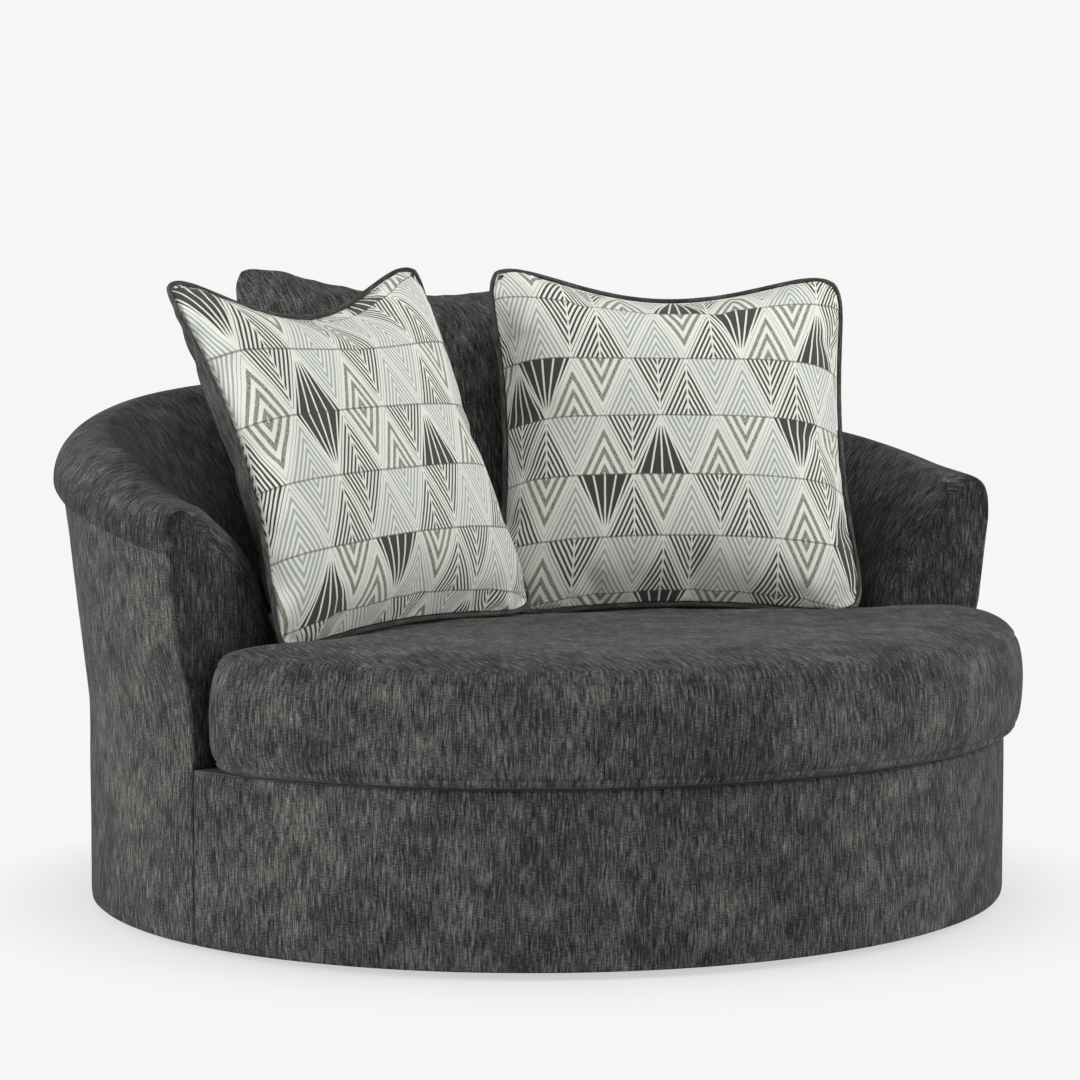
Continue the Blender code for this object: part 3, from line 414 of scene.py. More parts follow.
finishes = {"birch": plywood(), "steel": lacquered_steel(), "zinc": zinc_plate(), "nylon": moulded_nylon(),
            "felt": pressed_felt(), "cambric": dust_cloth(), "chenille": body_chenille,
            "welt": welt_chenille, "pattern": pillow_jacquard}
for part in frame["record"]["subparts"]:
    for place in frame["nodes"][part["node"]].material_slots:
        place.material = finishes[part["material_slot"]]

# %% [markdown]
# ## Sewing sheets of cloth
# Every soft piece is sewn from sheets, as the real ones are. A sheet is a grid of points, and a UV map
# keeps the place of each on the flat cloth, in metres, so the streaks keep their size and run true.
# Sheets that share an edge are merged there; the cloth's places stay apart, as at a real seam.

# %% Sheets, sewing and riding
def sheet(points, cloth, slot=0, flip=False):
    """A grid of points (rows, columns, 3) with its places on the cloth (rows, columns, 2)."""
    points, cloth = np.asarray(points, float), np.asarray(cloth, float)
    rows, columns = points.shape[:2]
    index = np.arange(rows * columns).reshape(rows, columns)
    corners = [index[:-1, :-1], index[:-1, 1:], index[1:, 1:], index[1:, :-1]]
    if flip:
        corners = corners[::-1]
    faces = np.stack(corners, -1).reshape(-1, 4)
    return {"points": points.reshape(-1, 3), "cloth": cloth.reshape(-1, 2), "faces": faces, "slot": slot}


MERGE = 0.00004


def sew(name, sheets, materials):
    """Joins sheets into one piece, and merges the edges that they share."""
    points = np.concatenate([part["points"] for part in sheets])
    cloth = np.concatenate([part["cloth"] for part in sheets])
    shift, faces, slots = 0, [], []
    for part in sheets:
        faces += (part["faces"] + shift).tolist()
        slots += [part["slot"]] * len(part["faces"])
        shift += len(part["points"])
    mesh = bpy.data.meshes.new(name)
    mesh.from_pydata(points.tolist(), [], faces)
    layer = mesh.uv_layers.new(name="cloth")
    layer.data.foreach_set("uv", cloth[np.concatenate(faces)].ravel())
    mesh.polygons.foreach_set("material_index", slots)
    mesh.polygons.foreach_set("use_smooth", [True] * len(faces))
    work = bmesh.new()
    work.from_mesh(mesh)
    bmesh.ops.remove_doubles(work, verts=work.verts, dist=MERGE)
    bmesh.ops.dissolve_degenerate(work, edges=work.edges, dist=MERGE)
    bmesh.ops.recalc_face_normals(work, faces=work.faces)
    work.to_mesh(mesh)
    work.free()
    for material in materials:
        mesh.materials.append(material)
    return put(name, mesh)


def put(name, data):
    """An object of the scene, made from its data."""
    made = bpy.data.objects.new(name, data)
    bpy.context.scene.collection.objects.link(made)
    return made


def places_of(piece):
    """The piece's points, as an array."""
    return np.array([vertex.co for vertex in piece.data.vertices])


def move_points(piece, places):
    piece.data.vertices.foreach_set("co", places.ravel())
    piece.data.update()


def measured(points):
    """Length along a row of points, from its start."""
    steps = np.linalg.norm(np.diff(np.asarray(points, float), axis=0), axis=1)
    return np.concatenate([[0.0], np.cumsum(steps)])


def settle(piece, body, slot, *nodes):
    """The piece rides on a body and stands for solid pieces, which it hides. Its slot argument is not used.
    """
    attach(piece, body)
    if nodes:
        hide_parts(*nodes)
    print(f"{piece.name}: {len(piece.data.polygons)} faces, rides on {body}")


def soften(piece):
    """Rounds the sewn grid by subdivision, which keeps the seams."""
    smooth = piece.modifiers.new("soft", "SUBSURF")
    smooth.levels = smooth.render_levels = 1
    smooth.uv_smooth = "PRESERVE_BOUNDARIES"


print("sewing helpers ready")

# %% [markdown]
# ## The barrel: inside, rim and arm fronts
# On the real chair one fabric is pulled over the foam of the inside, rolled over the rim, and tucked
# into a seam under the roll. A loft does this: one profile, from the seam over the roll and down the
# inside, is swept round the plan. Towards an arm's end the inner side of the roll sinks, where hands and
# elbows press it, more so on the left arm. At the end the profile is drawn inwards along a quarter
# circle, wide on the crest and narrow on the edges, and a crowned panel closes it.

# %% Profile of the padding
ROLL_INSET = 0.066
ROLL_PROUD = 0.013
ROLL_RISE = 0.073
ARM_LENGTH = 0.672
ARM_EDGE = 0.005
ARM_CREST_EDGE = 0.042
ARM_FOOT_EDGE = 0.024
ARM_SEAM = 0.559
CREST_FALL_LEFT = 0.030
CREST_FALL_RIGHT = 0.012
NOSE_REACH = 0.075
ROLL_STEPS = 20
SLOPE_STEPS = 22


def smooth_share(value, low, high):
    """Rises smoothly from 0 to 1 between two values."""
    share = np.clip((np.asarray(value, float) - low) / (high - low), 0, 1)
    return share * share * (3 - 2 * share)


def from_end(angle):
    """Distance along the plan from an arm's end."""
    return (ARM_END - abs(angle)) * ARM_LENGTH


def fade(angle):
    """How open the seam under the roll is: 0 up to 50 mm from an arm's end, 1 from 190 mm on."""
    return smooth_share(from_end(angle), 0.050, 0.190)


def roll_profile(angle):
    """The padding in section: offset and height pairs, from the seam's fold over the roll to the seat."""
    top = rim_height(angle)
    seam = top - SEAM_DROP
    lean = flare(seam)
    middle = lean - ROLL_INSET
    centre = top - ROLL_RISE
    fall = CREST_FALL_LEFT if angle < 0 else CREST_FALL_RIGHT
    fall = fall * (1 - smooth_share(from_end(angle), 0.03, 0.30))
    square = 0.74 + 0.26 * smooth_share(from_end(angle), 0.0, 0.11)
    closed = 1 - fade(angle)
    folds = ((-0.25, 0.12), (0.15, 0.24), (0.55 + 0.34 * closed, 0.25),
             (0.84 + 0.16 * closed, 0.12 + 0.12 * closed))
    points = [(lean + ROLL_PROUD * out, seam - ROLL_PROUD * down) for out, down in folds]
    start = radians(-5)
    for step in range(ROLL_STEPS + 1):
        turn = start + (pi / 2 - start) * step / ROLL_STEPS
        sunk = fall * max(0.0, step / ROLL_STEPS - 0.35) / 0.65
        out, up = max(0.0, cos(turn)) ** square, np.sign(turn) * abs(sin(turn)) ** square
        points.append((middle + (ROLL_INSET + ROLL_PROUD) * out, centre + ROLL_RISE * up - sunk))
    wall = wall_thickness(angle)
    reach = middle + wall
    for step in range(1, SLOPE_STEPS + 1):
        turn = pi / 2 * step / SLOPE_STEPS
        sunk = fall * (1 - smooth_share(step / SLOPE_STEPS, 0.18, 0.64))
        height = WALL_FOOT + (top - WALL_FOOT) * cos(turn) ** 1.38
        points.append((middle - reach * sin(turn) ** 1.38, height - sunk))
    points += [(-wall, WALL_FOOT - drop) for drop in (0.03, 0.07, 0.115, WALL_FOOT - DECK)]
    return np.array(points)


def roll_nose(count):
    """Radius of the padding's rounding at an arm's end: widest on the inner side of the crest."""
    place = np.arange(count) - 4
    crest = smooth_share(place, 0.55 * ROLL_STEPS, ROLL_STEPS + 4)
    foot = smooth_share(place, ROLL_STEPS + 0.6 * SLOPE_STEPS, ROLL_STEPS + SLOPE_STEPS)
    return ARM_EDGE + (ARM_CREST_EDGE - ARM_EDGE) * crest - (ARM_CREST_EDGE - ARM_FOOT_EDGE) * foot


def cover_nose(count):
    """The outside cover turns one small radius all the way down."""
    return np.full(count, ARM_EDGE)


def stood(profile, angle):
    """A profile of offset and height pairs, stood up on the plan at one angle, or at one for each pair."""
    angle = np.broadcast_to(angle, len(profile))
    return np.column_stack([plan_point(angle, profile[:, 0]), profile[:, 1]])


def end_row(section, nose, side, gap, turn):
    """A row near an arm's end: gap is the share left before the rounding, turn the angle round it."""
    count = len(section(ARM_END))
    radius = nose(count)
    back = radius * (1 - sin(turn)) + (NOSE_REACH - radius) * gap
    angles = side * (ARM_END - back / ARM_LENGTH)
    shapes = [section(angle) for angle in angles]
    points = np.array([shape[index] for index, shape in enumerate(shapes)])
    along = np.gradient(points, axis=0)
    inward = unit(pairs(-along[:, 1], along[:, 0]))
    level = 1.0 if nose is cover_nose else np.clip(1 - (np.arange(count) - 4) / 5, 0, 1)[:, None]
    inward = unit(inward * (1 - level) + np.array([-1.0, 0.0]) * level)
    points = points + inward * (radius * (1 - cos(turn)))[:, None]
    length = HALF_WIDTH * angles + side * 0.5 * radius * turn
    return stood(points, angles), pairs(length, measured(shapes[-1]))


GAP_ROWS = 6
NOSE_ROWS = 8
end_steps = [(1 - step / GAP_ROWS, 0.0) for step in range(1, GAP_ROWS)]
end_steps += [(0.0, pi / 2 * step / NOSE_ROWS) for step in range(NOSE_ROWS + 1)]
END_ROWS = len(end_steps)
main_end = ARM_END - NOSE_REACH / ARM_LENGTH
main_angles = np.linspace(-main_end, main_end, 175)


def loft(section, nose):
    """Rows of points and cloth places for a profile swept round the plan, with both arm ends turned in."""
    left = [end_row(section, nose, -1, *step) for step in end_steps[::-1]]
    right = [end_row(section, nose, 1, *step) for step in end_steps]
    main = []
    for angle in main_angles:
        shape = section(angle)
        main.append((stood(shape, angle), pairs(HALF_WIDTH * angle, measured(shape))))
    rows = left + main + right
    return np.array([row[0] for row in rows]), np.array([row[1] for row in rows])


padding_points, padding_cloth = loft(roll_profile, roll_nose)
print("padding grid:", padding_points.shape[:2], "rim:", round(padding_points[..., 2].max(), 3))

# %% [markdown]
# The outside cover leans out with the frame. Its top edge is tucked into the seam under the roll, and
# its hem is folded under the base rail. Towards an arm's end it swells out until it is flush with the
# roll, and turns the same rounded corner.

# %% Outside cover and arm fronts
PAD_BACK = 0.0535
HEM_FOLD = [(-0.0006, 0.0150), (-0.0022, 0.0110), (-0.0055, 0.0101), (-0.0140, 0.0102), (-0.0260, 0.0106)]


def swell(height, angle):
    """How far the cover swells out over the frame near an arm's end."""
    return ROLL_PROUD * smooth_share(height, 0.350, 0.435) * (1 - fade(angle))


def cover_profile(angle):
    """The outside cover in section, from the fold in the seam down to the hem's fold."""
    seam = rim_height(angle) - SEAM_DROP
    open_seam = fade(angle)
    first = np.array([0.0032 + 0.0044 * open_seam, 0.0056 + 0.0038 * open_seam, 0.0125, 0.020, 0.032])
    heights = np.concatenate([seam - first,
                              np.linspace(seam - 0.05, FLARE_START + 0.012, 18),
                              [FLARE_START, FLARE_START - 0.012], np.linspace(0.27, 0.022, 16)])
    tuck = np.zeros(len(heights))
    tuck[:4] = np.array([-0.0040, -0.0026, -0.0016, -0.0004]) * open_seam
    points = pairs(flare(heights) + swell(heights, angle) + tuck, heights)
    under = [(flare(seam) - 0.0036, seam - 0.0032 + 0.0016 * open_seam),
             (points[0, 0] - 0.0016, points[0, 1] + 0.0001)]
    return np.concatenate([under, points, HEM_FOLD])


cover_points, cover_cloth = loft(cover_profile, cover_nose)


def arm_front(side):
    """The front panel of an arm, in rings from its outline to its middle, with a slight crown."""
    row = padding_points[0 if side < 0 else -1]
    out = plan_normal(side * ARM_END)
    foot = plan_point(side * ARM_END, 0.0)
    shape = pairs((row[:, :2] - foot) @ out, row[:, 2])[3:]
    heights = np.linspace(DECK, ARM_SEAM - 0.004, 26)
    outer = pairs(flare(heights) + swell(heights, ARM_END) - ARM_EDGE, heights)
    bottom = np.linspace(shape[-1], outer[0], 14)[1:-1]
    outline = np.concatenate([shape, bottom, outer, shape[:1]])
    middle = np.array([-0.080, 0.425])
    forward = side * np.array([out[1], -out[0]])
    rows, cloth = [], []
    for share in (1, 0.96, 0.9, 0.82, 0.73, 0.63, 0.53, 0.43, 0.33, 0.23, 0.13, 0.05, 0.001):
        ring = middle + (outline - middle) * share
        flat = foot + out * ring[:, :1]
        flat = flat + forward * 0.005 * (1 - share ** 2) * np.clip((ring[:, 1:] - DECK) / 0.08, 0, 1)
        rows.append(np.concatenate([flat, ring[:, 1:]], 1))
        cloth.append(pairs(side * (1.4 - ring[:, 0]), 0.8 - ring[:, 1]))
    return sheet(rows, cloth)


def lumps(x, y, z):
    """Slow noise, the same on every run, at places that arrays or single numbers give."""
    return np.array([noise.noise(Vector(place)) for place in np.broadcast(x, y, z)])


def out_from_axis(points):
    """The level way from the swivel axis to each point."""
    return unit(points[:, :2] - np.array([0.0, AXIS_Y]))


def uneven(points, size):
    """Foam under cloth is never quite even: moves points by slow noise, along the way out from the axis."""
    lift = size * lumps(*(points * 7.0).T) + size * 0.5 * lumps(*(points * 19.0 + 5.0).T)
    points = points.copy()
    points[:, :2] += out_from_axis(points) * lift[:, None]
    return points


def padding_back():
    """The hidden side of the padding, from the seam down to the deck, and along it to the inside."""
    rows = []
    for row, angle in zip(padding_points[END_ROWS:-END_ROWS], main_angles):
        seam = rim_height(angle) - SEAM_DROP
        behind = [(flare(seam) - PAD_BACK, seam - 0.001), (-PAD_BACK, FLARE_START), (-PAD_BACK, DECK)]
        rows.append([row[0], *stood(np.array(behind), angle), row[-1]])
    return np.array(rows)


hidden = padding_back()
padding = sew("barrel_padding", [sheet(padding_points, padding_cloth), arm_front(-1), arm_front(1),
                                 sheet(hidden, hidden[..., 1:], flip=True)], [painted_shade_chenille])
cover = sew("outside_covering", [sheet(cover_points, cover_cloth)], [body_chenille])
for piece, nodes in ((padding, ("inside_upholstery", "arm_front_left", "arm_front_right")),
                     (cover, ("outside_cover",))):
    move_points(piece, uneven(places_of(piece), 0.0012))
    soften(piece)
    settle(piece, "chair", "chenille", *nodes)

# %% [markdown]
# ## The front band
# A strip of the same fabric closes the base under the cushion. It ends in a seam at each arm, where its
# edge is turned in, and that turned edge is the dark line in the photograph.

# %% Front band
def band_profile():
    heights = np.linspace(0.243, 0.022, 18)
    top = [(-0.0300, 0.2545), (-0.0120, 0.2547), (-0.0045, 0.2542), (-0.0012, 0.2515)]
    return np.array(top + [(0.0, height) for height in heights] + HEM_FOLD)


band_shape = band_profile()
band_gap = 0.0009 / ARM_LENGTH
turned = np.array([0.0, 0.0009, 0.0032, 0.009]) / ARM_LENGTH
insets = np.array([0.0042, 0.0016, 0.0003, 0.0])
band_angles = np.concatenate([ARM_END + band_gap + turned,
                              np.linspace(ARM_END + 0.03, 2 * pi - ARM_END - 0.03, 92),
                              (2 * pi - ARM_END - band_gap - turned)[::-1]])
band_insets = np.concatenate([insets, np.zeros(92), insets[::-1]])
band_points = [stood(band_shape - [inset, 0.0], angle) for angle, inset in zip(band_angles, band_insets)]
band_cloth = [pairs(HALF_WIDTH * angle, measured(band_shape)) for angle in band_angles]
band = sew("front_banding", [sheet(band_points, band_cloth)], [body_chenille])
move_points(band, uneven(places_of(band), 0.0008))
soften(band)
settle(band, "chair", "chenille", "front_band")

# %% [markdown]
# ## The seat cushion
# A boxed cushion is a top and a bottom panel joined by a border. Its plan follows the front of the body,
# wraps round the arm fronts in two ears, and fits between the walls. The filling pushes the border out
# and crowns the top. Evenly spread points, triangulated, fill the panels, so that no streak is stretched.

# %% Plan of the cushion
CUSHION_BOTTOM = 0.2556
CUSHION_BORDER = 0.1595
OVERHANG = 0.0285
EAR_RADIUS = 0.088
CLEARANCE = 0.0035
CROWN = 0.0175


def cushion_half():
    """Right half of the plan, from the front centre round the ear and the arm's corner to the back."""
    ray = plan_normal(ARM_END)
    forward = np.array([ray[1], -ray[0]])
    face = plan_point(ARM_END, 0.0) + forward * CLEARANCE
    angles = np.linspace(ARM_END, pi, 4000)
    centres = plan_point(angles, OVERHANG - EAR_RADIUS)
    fits = (centres - face) @ forward > EAR_RADIUS
    index = int(np.argmax(fits))
    centre, high = centres[index], angles[index]
    points = list(plan_point(np.linspace(pi, high, 90), OVERHANG))
    out = plan_normal(high)
    turns = np.linspace(np.arctan2(out[1], out[0]), np.arctan2(-forward[1], -forward[0]), 24)[1:]
    points += list(centre + EAR_RADIUS * pairs(np.cos(turns), np.sin(turns)))
    wall = WALL + CLEARANCE
    corner = plan_point(ARM_END, -wall) + forward * CLEARANCE
    inward = -ray
    towards_back = unit(plan_point(ARM_END - 0.05, -wall) - plan_point(ARM_END, -wall))
    bend = 0.018
    first = corner - inward * bend
    points += list(np.linspace(points[-1], first, 12)[1:])
    middle = first + towards_back * bend
    for turn in np.linspace(0, pi / 2, 8)[1:]:
        points.append(middle + bend * (inward * sin(turn) - towards_back * cos(turn)))
    angles = np.linspace(ARM_END - (bend + 0.004) / ARM_LENGTH, 0.0, 110)
    points += list(plan_point(angles, -wall_thickness(angles) - CLEARANCE))
    return np.array(points)


half = cushion_half()
outline = np.concatenate([half, half[-2:0:-1] * [-1.0, 1.0]])
closed = np.concatenate([outline, outline[:1]])
reach = measured(closed)
COUNT = 380
spread = np.linspace(0, reach[-1], COUNT + 1)[:-1]
outline = pairs(np.interp(spread, reach, closed[:, 0]), np.interp(spread, reach, closed[:, 1]))
along = np.roll(outline, -1, 0) - np.roll(outline, 1, 0)
normals = unit(pairs(-along[:, 1], along[:, 0]))
for _ in range(3):
    normals = (np.roll(normals, 1, 0) + 2 * normals + np.roll(normals, -1, 0)) / 4
normals = unit(normals)
print("cushion outline:", len(outline), "points,", round(reach[-1], 3), "m round")

# %% Border, top and bottom of the cushion
border_shape = [(0.0240, 0.012), (0.0150, 0.038), (0.0100, 0.066), (0.0104, 0.086), (0.0135, 0.094),
                (0.0095, 0.103), (0.0068, 0.125), (0.0034, 0.19), (0.0012, 0.28), (0.0002, 0.40),
                (0.0, 0.53), (0.0016, 0.66), (0.0046, 0.76), (0.0080, 0.83), (0.0112, 0.868),
                (0.0150, 0.884), (0.0128, 0.896), (0.0150, 0.925), (0.0200, 0.962), (0.0270, 0.996)]


def crown(distance):
    """Height of the top panel over its seam, by the distance from the cushion's edge."""
    edge = np.clip((distance - 0.027) / 0.13, 0, 1)
    return CUSHION_BOTTOM + CUSHION_BORDER * 0.996 + CROWN * (1 - (1 - edge) ** 2.2)


def distance_in(points):
    """Distance of points from the cushion's outline, and whether they lie inside it."""
    step = np.roll(outline, -1, 0) - outline
    best = np.full(len(points), 1e9)
    crossings = np.zeros(len(points), int)
    for (ax, ay), (dx, dy) in zip(outline, step):
        share = np.clip(((points[:, 0] - ax) * dx + (points[:, 1] - ay) * dy) / (dx * dx + dy * dy), 0, 1)
        best = np.minimum(best, np.hypot(points[:, 0] - ax - share * dx, points[:, 1] - ay - share * dy))
        if dy != 0:
            hit = (ay > points[:, 1]) != (ay + dy > points[:, 1])
            crossings += hit & (points[:, 0] < ax + (points[:, 1] - ay) * dx / dy)
    return best, crossings % 2 == 1


def panel(ring_insets, height_of, flip):
    """A flat panel: rings inside the outline, then evenly spread points, triangulated."""
    rings = [outline + normals * inset for inset in ring_insets]
    grid = np.stack(np.meshgrid(np.arange(-0.75, 0.76, 0.022), np.arange(-0.75, 0.65, 0.019)), -1)
    grid[::2, :, 0] += 0.011
    grid = grid.reshape(-1, 2)
    depth, inside = distance_in(grid)
    grid = grid[inside & (depth > ring_insets[-1] + 0.011)]
    flat = np.concatenate(rings + [grid])
    border = [(i, (i + 1) % COUNT) for i in range(COUNT)]
    done = delaunay_2d_cdt([Vector(p) for p in flat], border, [], 1, 1e-7)
    places = np.array([tuple(p) for p in done[0]])
    depth, _ = distance_in(places)
    depth = np.maximum(depth, ring_insets[0])
    points = np.column_stack([places, height_of(depth)])
    faces = np.array([face[::-1] if flip else face for face in done[2]])
    return {"points": points, "cloth": places, "faces": faces, "slot": 0}


def cushion_border():
    rows, cloth = [], []
    lengths = measured(np.array(border_shape) * [1, CUSHION_BORDER])
    turn = np.append(spread, reach[-1])
    for (inset, share), length in zip(border_shape, lengths):
        height = np.full(COUNT, CUSHION_BOTTOM + share * CUSHION_BORDER)
        row = np.column_stack([outline + normals * inset, height])
        rows.append(np.concatenate([row, row[:1]]))
        cloth.append(pairs(turn, length))
    return sheet(rows, cloth)


top_panel = panel([border_shape[-1][0], 0.036, 0.048], crown, False)
bottom_panel = panel([border_shape[0][0], 0.034, 0.046],
                     lambda depth: CUSHION_BOTTOM + 0.0019 * np.clip((0.034 - depth) / 0.010, 0, 1), True)
cushion = sew("boxed_seat_cushion", [cushion_border(), top_panel, bottom_panel], [body_chenille])
EAR_LIFT = 0.006


def puckered(points, size):
    """Small folds run up and down the border, the top has slow hollows, and the ears rise."""
    flat = points.copy()
    depth, _ = distance_in(flat[:, :2])
    turn = np.arctan2(flat[:, 0], -(flat[:, 1] - AXIS_Y))
    rise = (flat[:, 2] - CUSHION_BOTTOM) / CUSHION_BORDER
    side = np.clip(1 - depth / 0.03, 0, 1)
    fold = lumps(turn * 26.0, rise * 1.6, 4.0)
    sag = lumps(turn * 7.0, rise * 2.2, 9.0)
    flat[:, :2] -= out_from_axis(flat) * (side * size * (1.1 + fold * 1.1 + sag * 1.6))[:, None]
    top = np.clip((rise - 0.9) / 0.1, 0, 1) * (1 - side)
    hollow = lumps(flat[:, 0] * 5.0, flat[:, 1] * 5.0, 2.0)
    flat[:, 2] += top * (hollow * 0.0022 - 0.0016)
    ears = smooth_share(np.abs(turn), 0.7, 1.3) * (flat[:, 1] < -0.10)
    flat[:, 2] += EAR_LIFT * np.clip(rise, 0, 1) * ears
    return flat


move_points(cushion, puckered(places_of(cushion), 0.0016))
soften(cushion)
settle(cushion, "cushion", "chenille", "seat_cushion")

# %% [markdown]
# ## Filling with the cloth simulation
# Pressure inside a closed cloth pushes it out, and cloth cut a little larger than its seam has to fold
# along it. That gives a real pillow its puckers. The seam's points are pinned, gravity is off, since the
# pillow already stands as it should, and twenty frames are enough. How far a point may move is capped,
# so no pillow outgrows its place, and most of the slip along the cloth is left out, which would distort
# the pattern.

# %% Filling
PRESSURE = 3.0
SURPLUS = 0.030
STIFFNESS = 12.0
MOST_MOVE = 0.012
SLIP = 0.25
FRAMES = 20


def seam_points(piece):
    """The points where the two faces of a pillow meet."""
    edges = {}
    for face in piece.data.polygons:
        for pair in face.edge_keys:
            edges.setdefault(pair, set()).add(face.material_index)
    return sorted({index for pair, slots in edges.items() if len(slots) == 2 for index in pair})


def filled(piece):
    """Runs the cloth simulation on a pillow, and keeps its result."""
    before = places_of(piece)
    group = piece.vertex_groups.new(name="seam")
    group.add(seam_points(piece), 1.0, "REPLACE")
    cloth = piece.modifiers.new("filling", "CLOTH")
    fabric = cloth.settings
    fabric.quality = 5
    fabric.mass = 0.3
    fabric.tension_stiffness = fabric.compression_stiffness = STIFFNESS
    fabric.shear_stiffness = 4.0
    fabric.bending_stiffness = 0.4
    fabric.use_pressure = True
    fabric.uniform_pressure_force = PRESSURE
    fabric.shrink_min = -SURPLUS
    fabric.vertex_group_mass = "seam"
    fabric.effector_weights.gravity = 0.0
    cloth.point_cache.frame_start = 1
    cloth.point_cache.frame_end = FRAMES
    for number in range(1, FRAMES + 1):
        bpy.context.scene.frame_set(number)
    graph = bpy.context.evaluated_depsgraph_get()
    after = np.array([vertex.co for vertex in piece.evaluated_get(graph).data.vertices])
    piece.modifiers.remove(cloth)
    piece.vertex_groups.clear()
    bpy.context.scene.frame_set(1)
    moved = after - before
    normals = np.array([vertex.normal for vertex in piece.data.vertices])
    outwards = np.sum(moved * normals, axis=1, keepdims=True) * normals
    moved = outwards + SLIP * (moved - outwards)
    length = np.maximum(np.linalg.norm(moved, axis=1), 1e-9)
    capped = MOST_MOVE * np.tanh(length / MOST_MOVE)
    move_points(piece, before + moved * (capped / length)[:, None])
    print(f"{piece.name}: filled, the largest move {1000 * capped.max():.1f} mm")


# %% [markdown]
# ## Pillows
# A knife-edge pillow is two square panels sewn together and filled. The filling pulls the middle of
# every edge inwards, so the corners stand out as ears, and a blow with the hand leaves a dip in the top
# edge. The back pillow is all chenille. The accent pillows have a patterned front, a chenille back, and
# a chenille welt in the seam.

# %% Shape of a pillow
CORNER_ROUNDNESS = 9
DRAW = 0.028


def corner_pull(across, up):
    """How far a place is drawn towards the middle, so that the corners come out round: 1 is not at all."""
    ring = np.maximum(np.maximum(np.abs(across), np.abs(up)), 1e-9)
    spread = (np.abs(across) ** CORNER_ROUNDNESS + np.abs(up) ** CORNER_ROUNDNESS) ** (1 / CORNER_ROUNDNESS)
    return 1 + (ring / np.maximum(spread, 1e-9) - 1) * ring ** 4


def rim_place(size, dip, across, up):
    """Middle plane of a pillow: edges draw in between the corners, and the top edge dips."""
    across, up = np.asarray(across, float), np.asarray(up, float)
    rounding = corner_pull(across, up)
    x = size[0] / 2 * across * rounding - DRAW * across * np.abs(across) * (1 - up ** 2)
    y = size[1] / 2 * (1 + up * rounding) - DRAW * up * np.abs(up) * (1 - across ** 2)
    y = y - dip * (1 - across ** 2) ** 2 * np.maximum(0.0, up) ** 2
    return x, y


def sway(across, up, bend):
    """A slumped pillow's seam isn't flat: the left edge comes forward, and the other edges lie back."""
    left = np.maximum(0.0, -across) ** 3 * (1 - up ** 2)
    right = np.maximum(0.0, across) ** 3 * (1 - up ** 2)
    ends = np.abs(up) ** 3 * (1 - across ** 2)
    return bend[1] * (right + 0.8 * ends) - bend[0] * left


def sagged(x, z, across, up, sag):
    """One top corner of a slumped pillow hangs: side -1 or 1, and how far it goes across and down."""
    side, shift, drop = sag
    share = np.maximum(0.0, side * across) ** 2 * np.maximum(0.0, up) ** 2
    return x + shift * share, z - drop * share


CELLS = 64


def pillow_faces(size, dip, bend, sag, seed):
    """Front and back grids of a filled pillow, in its own frame: x across, z up, the front towards -y."""
    stops = np.sin(pi / 2 * np.linspace(-1, 1, CELLS + 1))
    across, up = np.meshgrid(stops, stops)
    x, z = sagged(*rim_place(size, dip, across, up), across, up, sag)
    pull = corner_pull(across, up)
    corner = np.abs(across * up) ** 1.2
    turn = np.arctan2(up - np.sign(up) * 1.05, across - np.sign(across) * 1.05)
    sheets = []
    for face in (-1, 1):
        round_off = 2.3 if face < 0 else 2.7
        full = np.sqrt(np.maximum(0.0, (1 - np.abs(across) ** round_off) * (1 - np.abs(up) ** round_off)))
        slow = lumps(across * 2.1 + seed, up * 2.1, face * 3.0)
        rays = lumps(turn * 5.0 + seed, np.sign(across) * 3 + np.sign(up) * 7, face * 2.0)
        folds = slow.reshape(x.shape) * 0.05 + rays.reshape(x.shape) * 0.10 * corner
        depth = face * size[2] / 2 * full * (0.97 + folds - 0.025 * full)
        points = np.stack([x, depth + sway(across, up, bend), z], -1)
        wide = measured(points[CELLS // 2])
        high = measured(points[:, CELLS // 2])
        u = np.interp(across * pull, stops, wide - wide.mean()) + seed * 0.37
        v = np.interp(up * pull, stops, high) + seed * 0.21
        sheets.append(sheet(points, pairs(u, v), 0 if face < 0 else 1, flip=face > 0))
    return sheets


RIM_STEPS = 55
WELT_RADIUS = 0.0037
WELT_STEPS = 13


def rim_line(size, dip, bend, sag):
    """Points round the seam of a pillow."""
    stops = np.sin(pi * (np.arange(RIM_STEPS) / RIM_STEPS - 0.5))
    ones = np.ones_like(stops)
    across = np.concatenate([stops, ones, -stops, -ones])
    up = np.concatenate([-ones, stops, ones, -stops])
    x, z = sagged(*rim_place(size, dip, across, up), across, up, sag)
    return np.stack([x, sway(across, up, bend), z], -1)


def welt_sheet(line):
    """A covered cord along a closed line, with the slight lumps that its fabric makes."""
    ahead = np.roll(line, -1, 0) - np.roll(line, 1, 0)
    side = unit(np.stack([ahead[:, 2], np.zeros(len(line)), -ahead[:, 0]], -1))
    length = measured(np.concatenate([line, line[:1]]))
    turns = np.linspace(0, 2 * pi, WELT_STEPS)
    rows, cloth = [], []
    for index in range(len(line) + 1):
        at = index % len(line)
        lump = 1 + 0.07 * noise.noise(Vector((at * 1.3, WELT_RADIUS * 900, 0.0)))
        ring = line[at] + side[at] * (WELT_RADIUS + 0.0006)
        ways = np.cos(turns)[:, None] * side[at] + np.sin(turns)[:, None] * [0, 1, 0]
        ring = ring + WELT_RADIUS * lump * ways
        ring[-1] = ring[0]
        rows.append(ring)
        cloth.append(pairs(turns * WELT_RADIUS, length[index]))
    return sheet(rows, cloth)


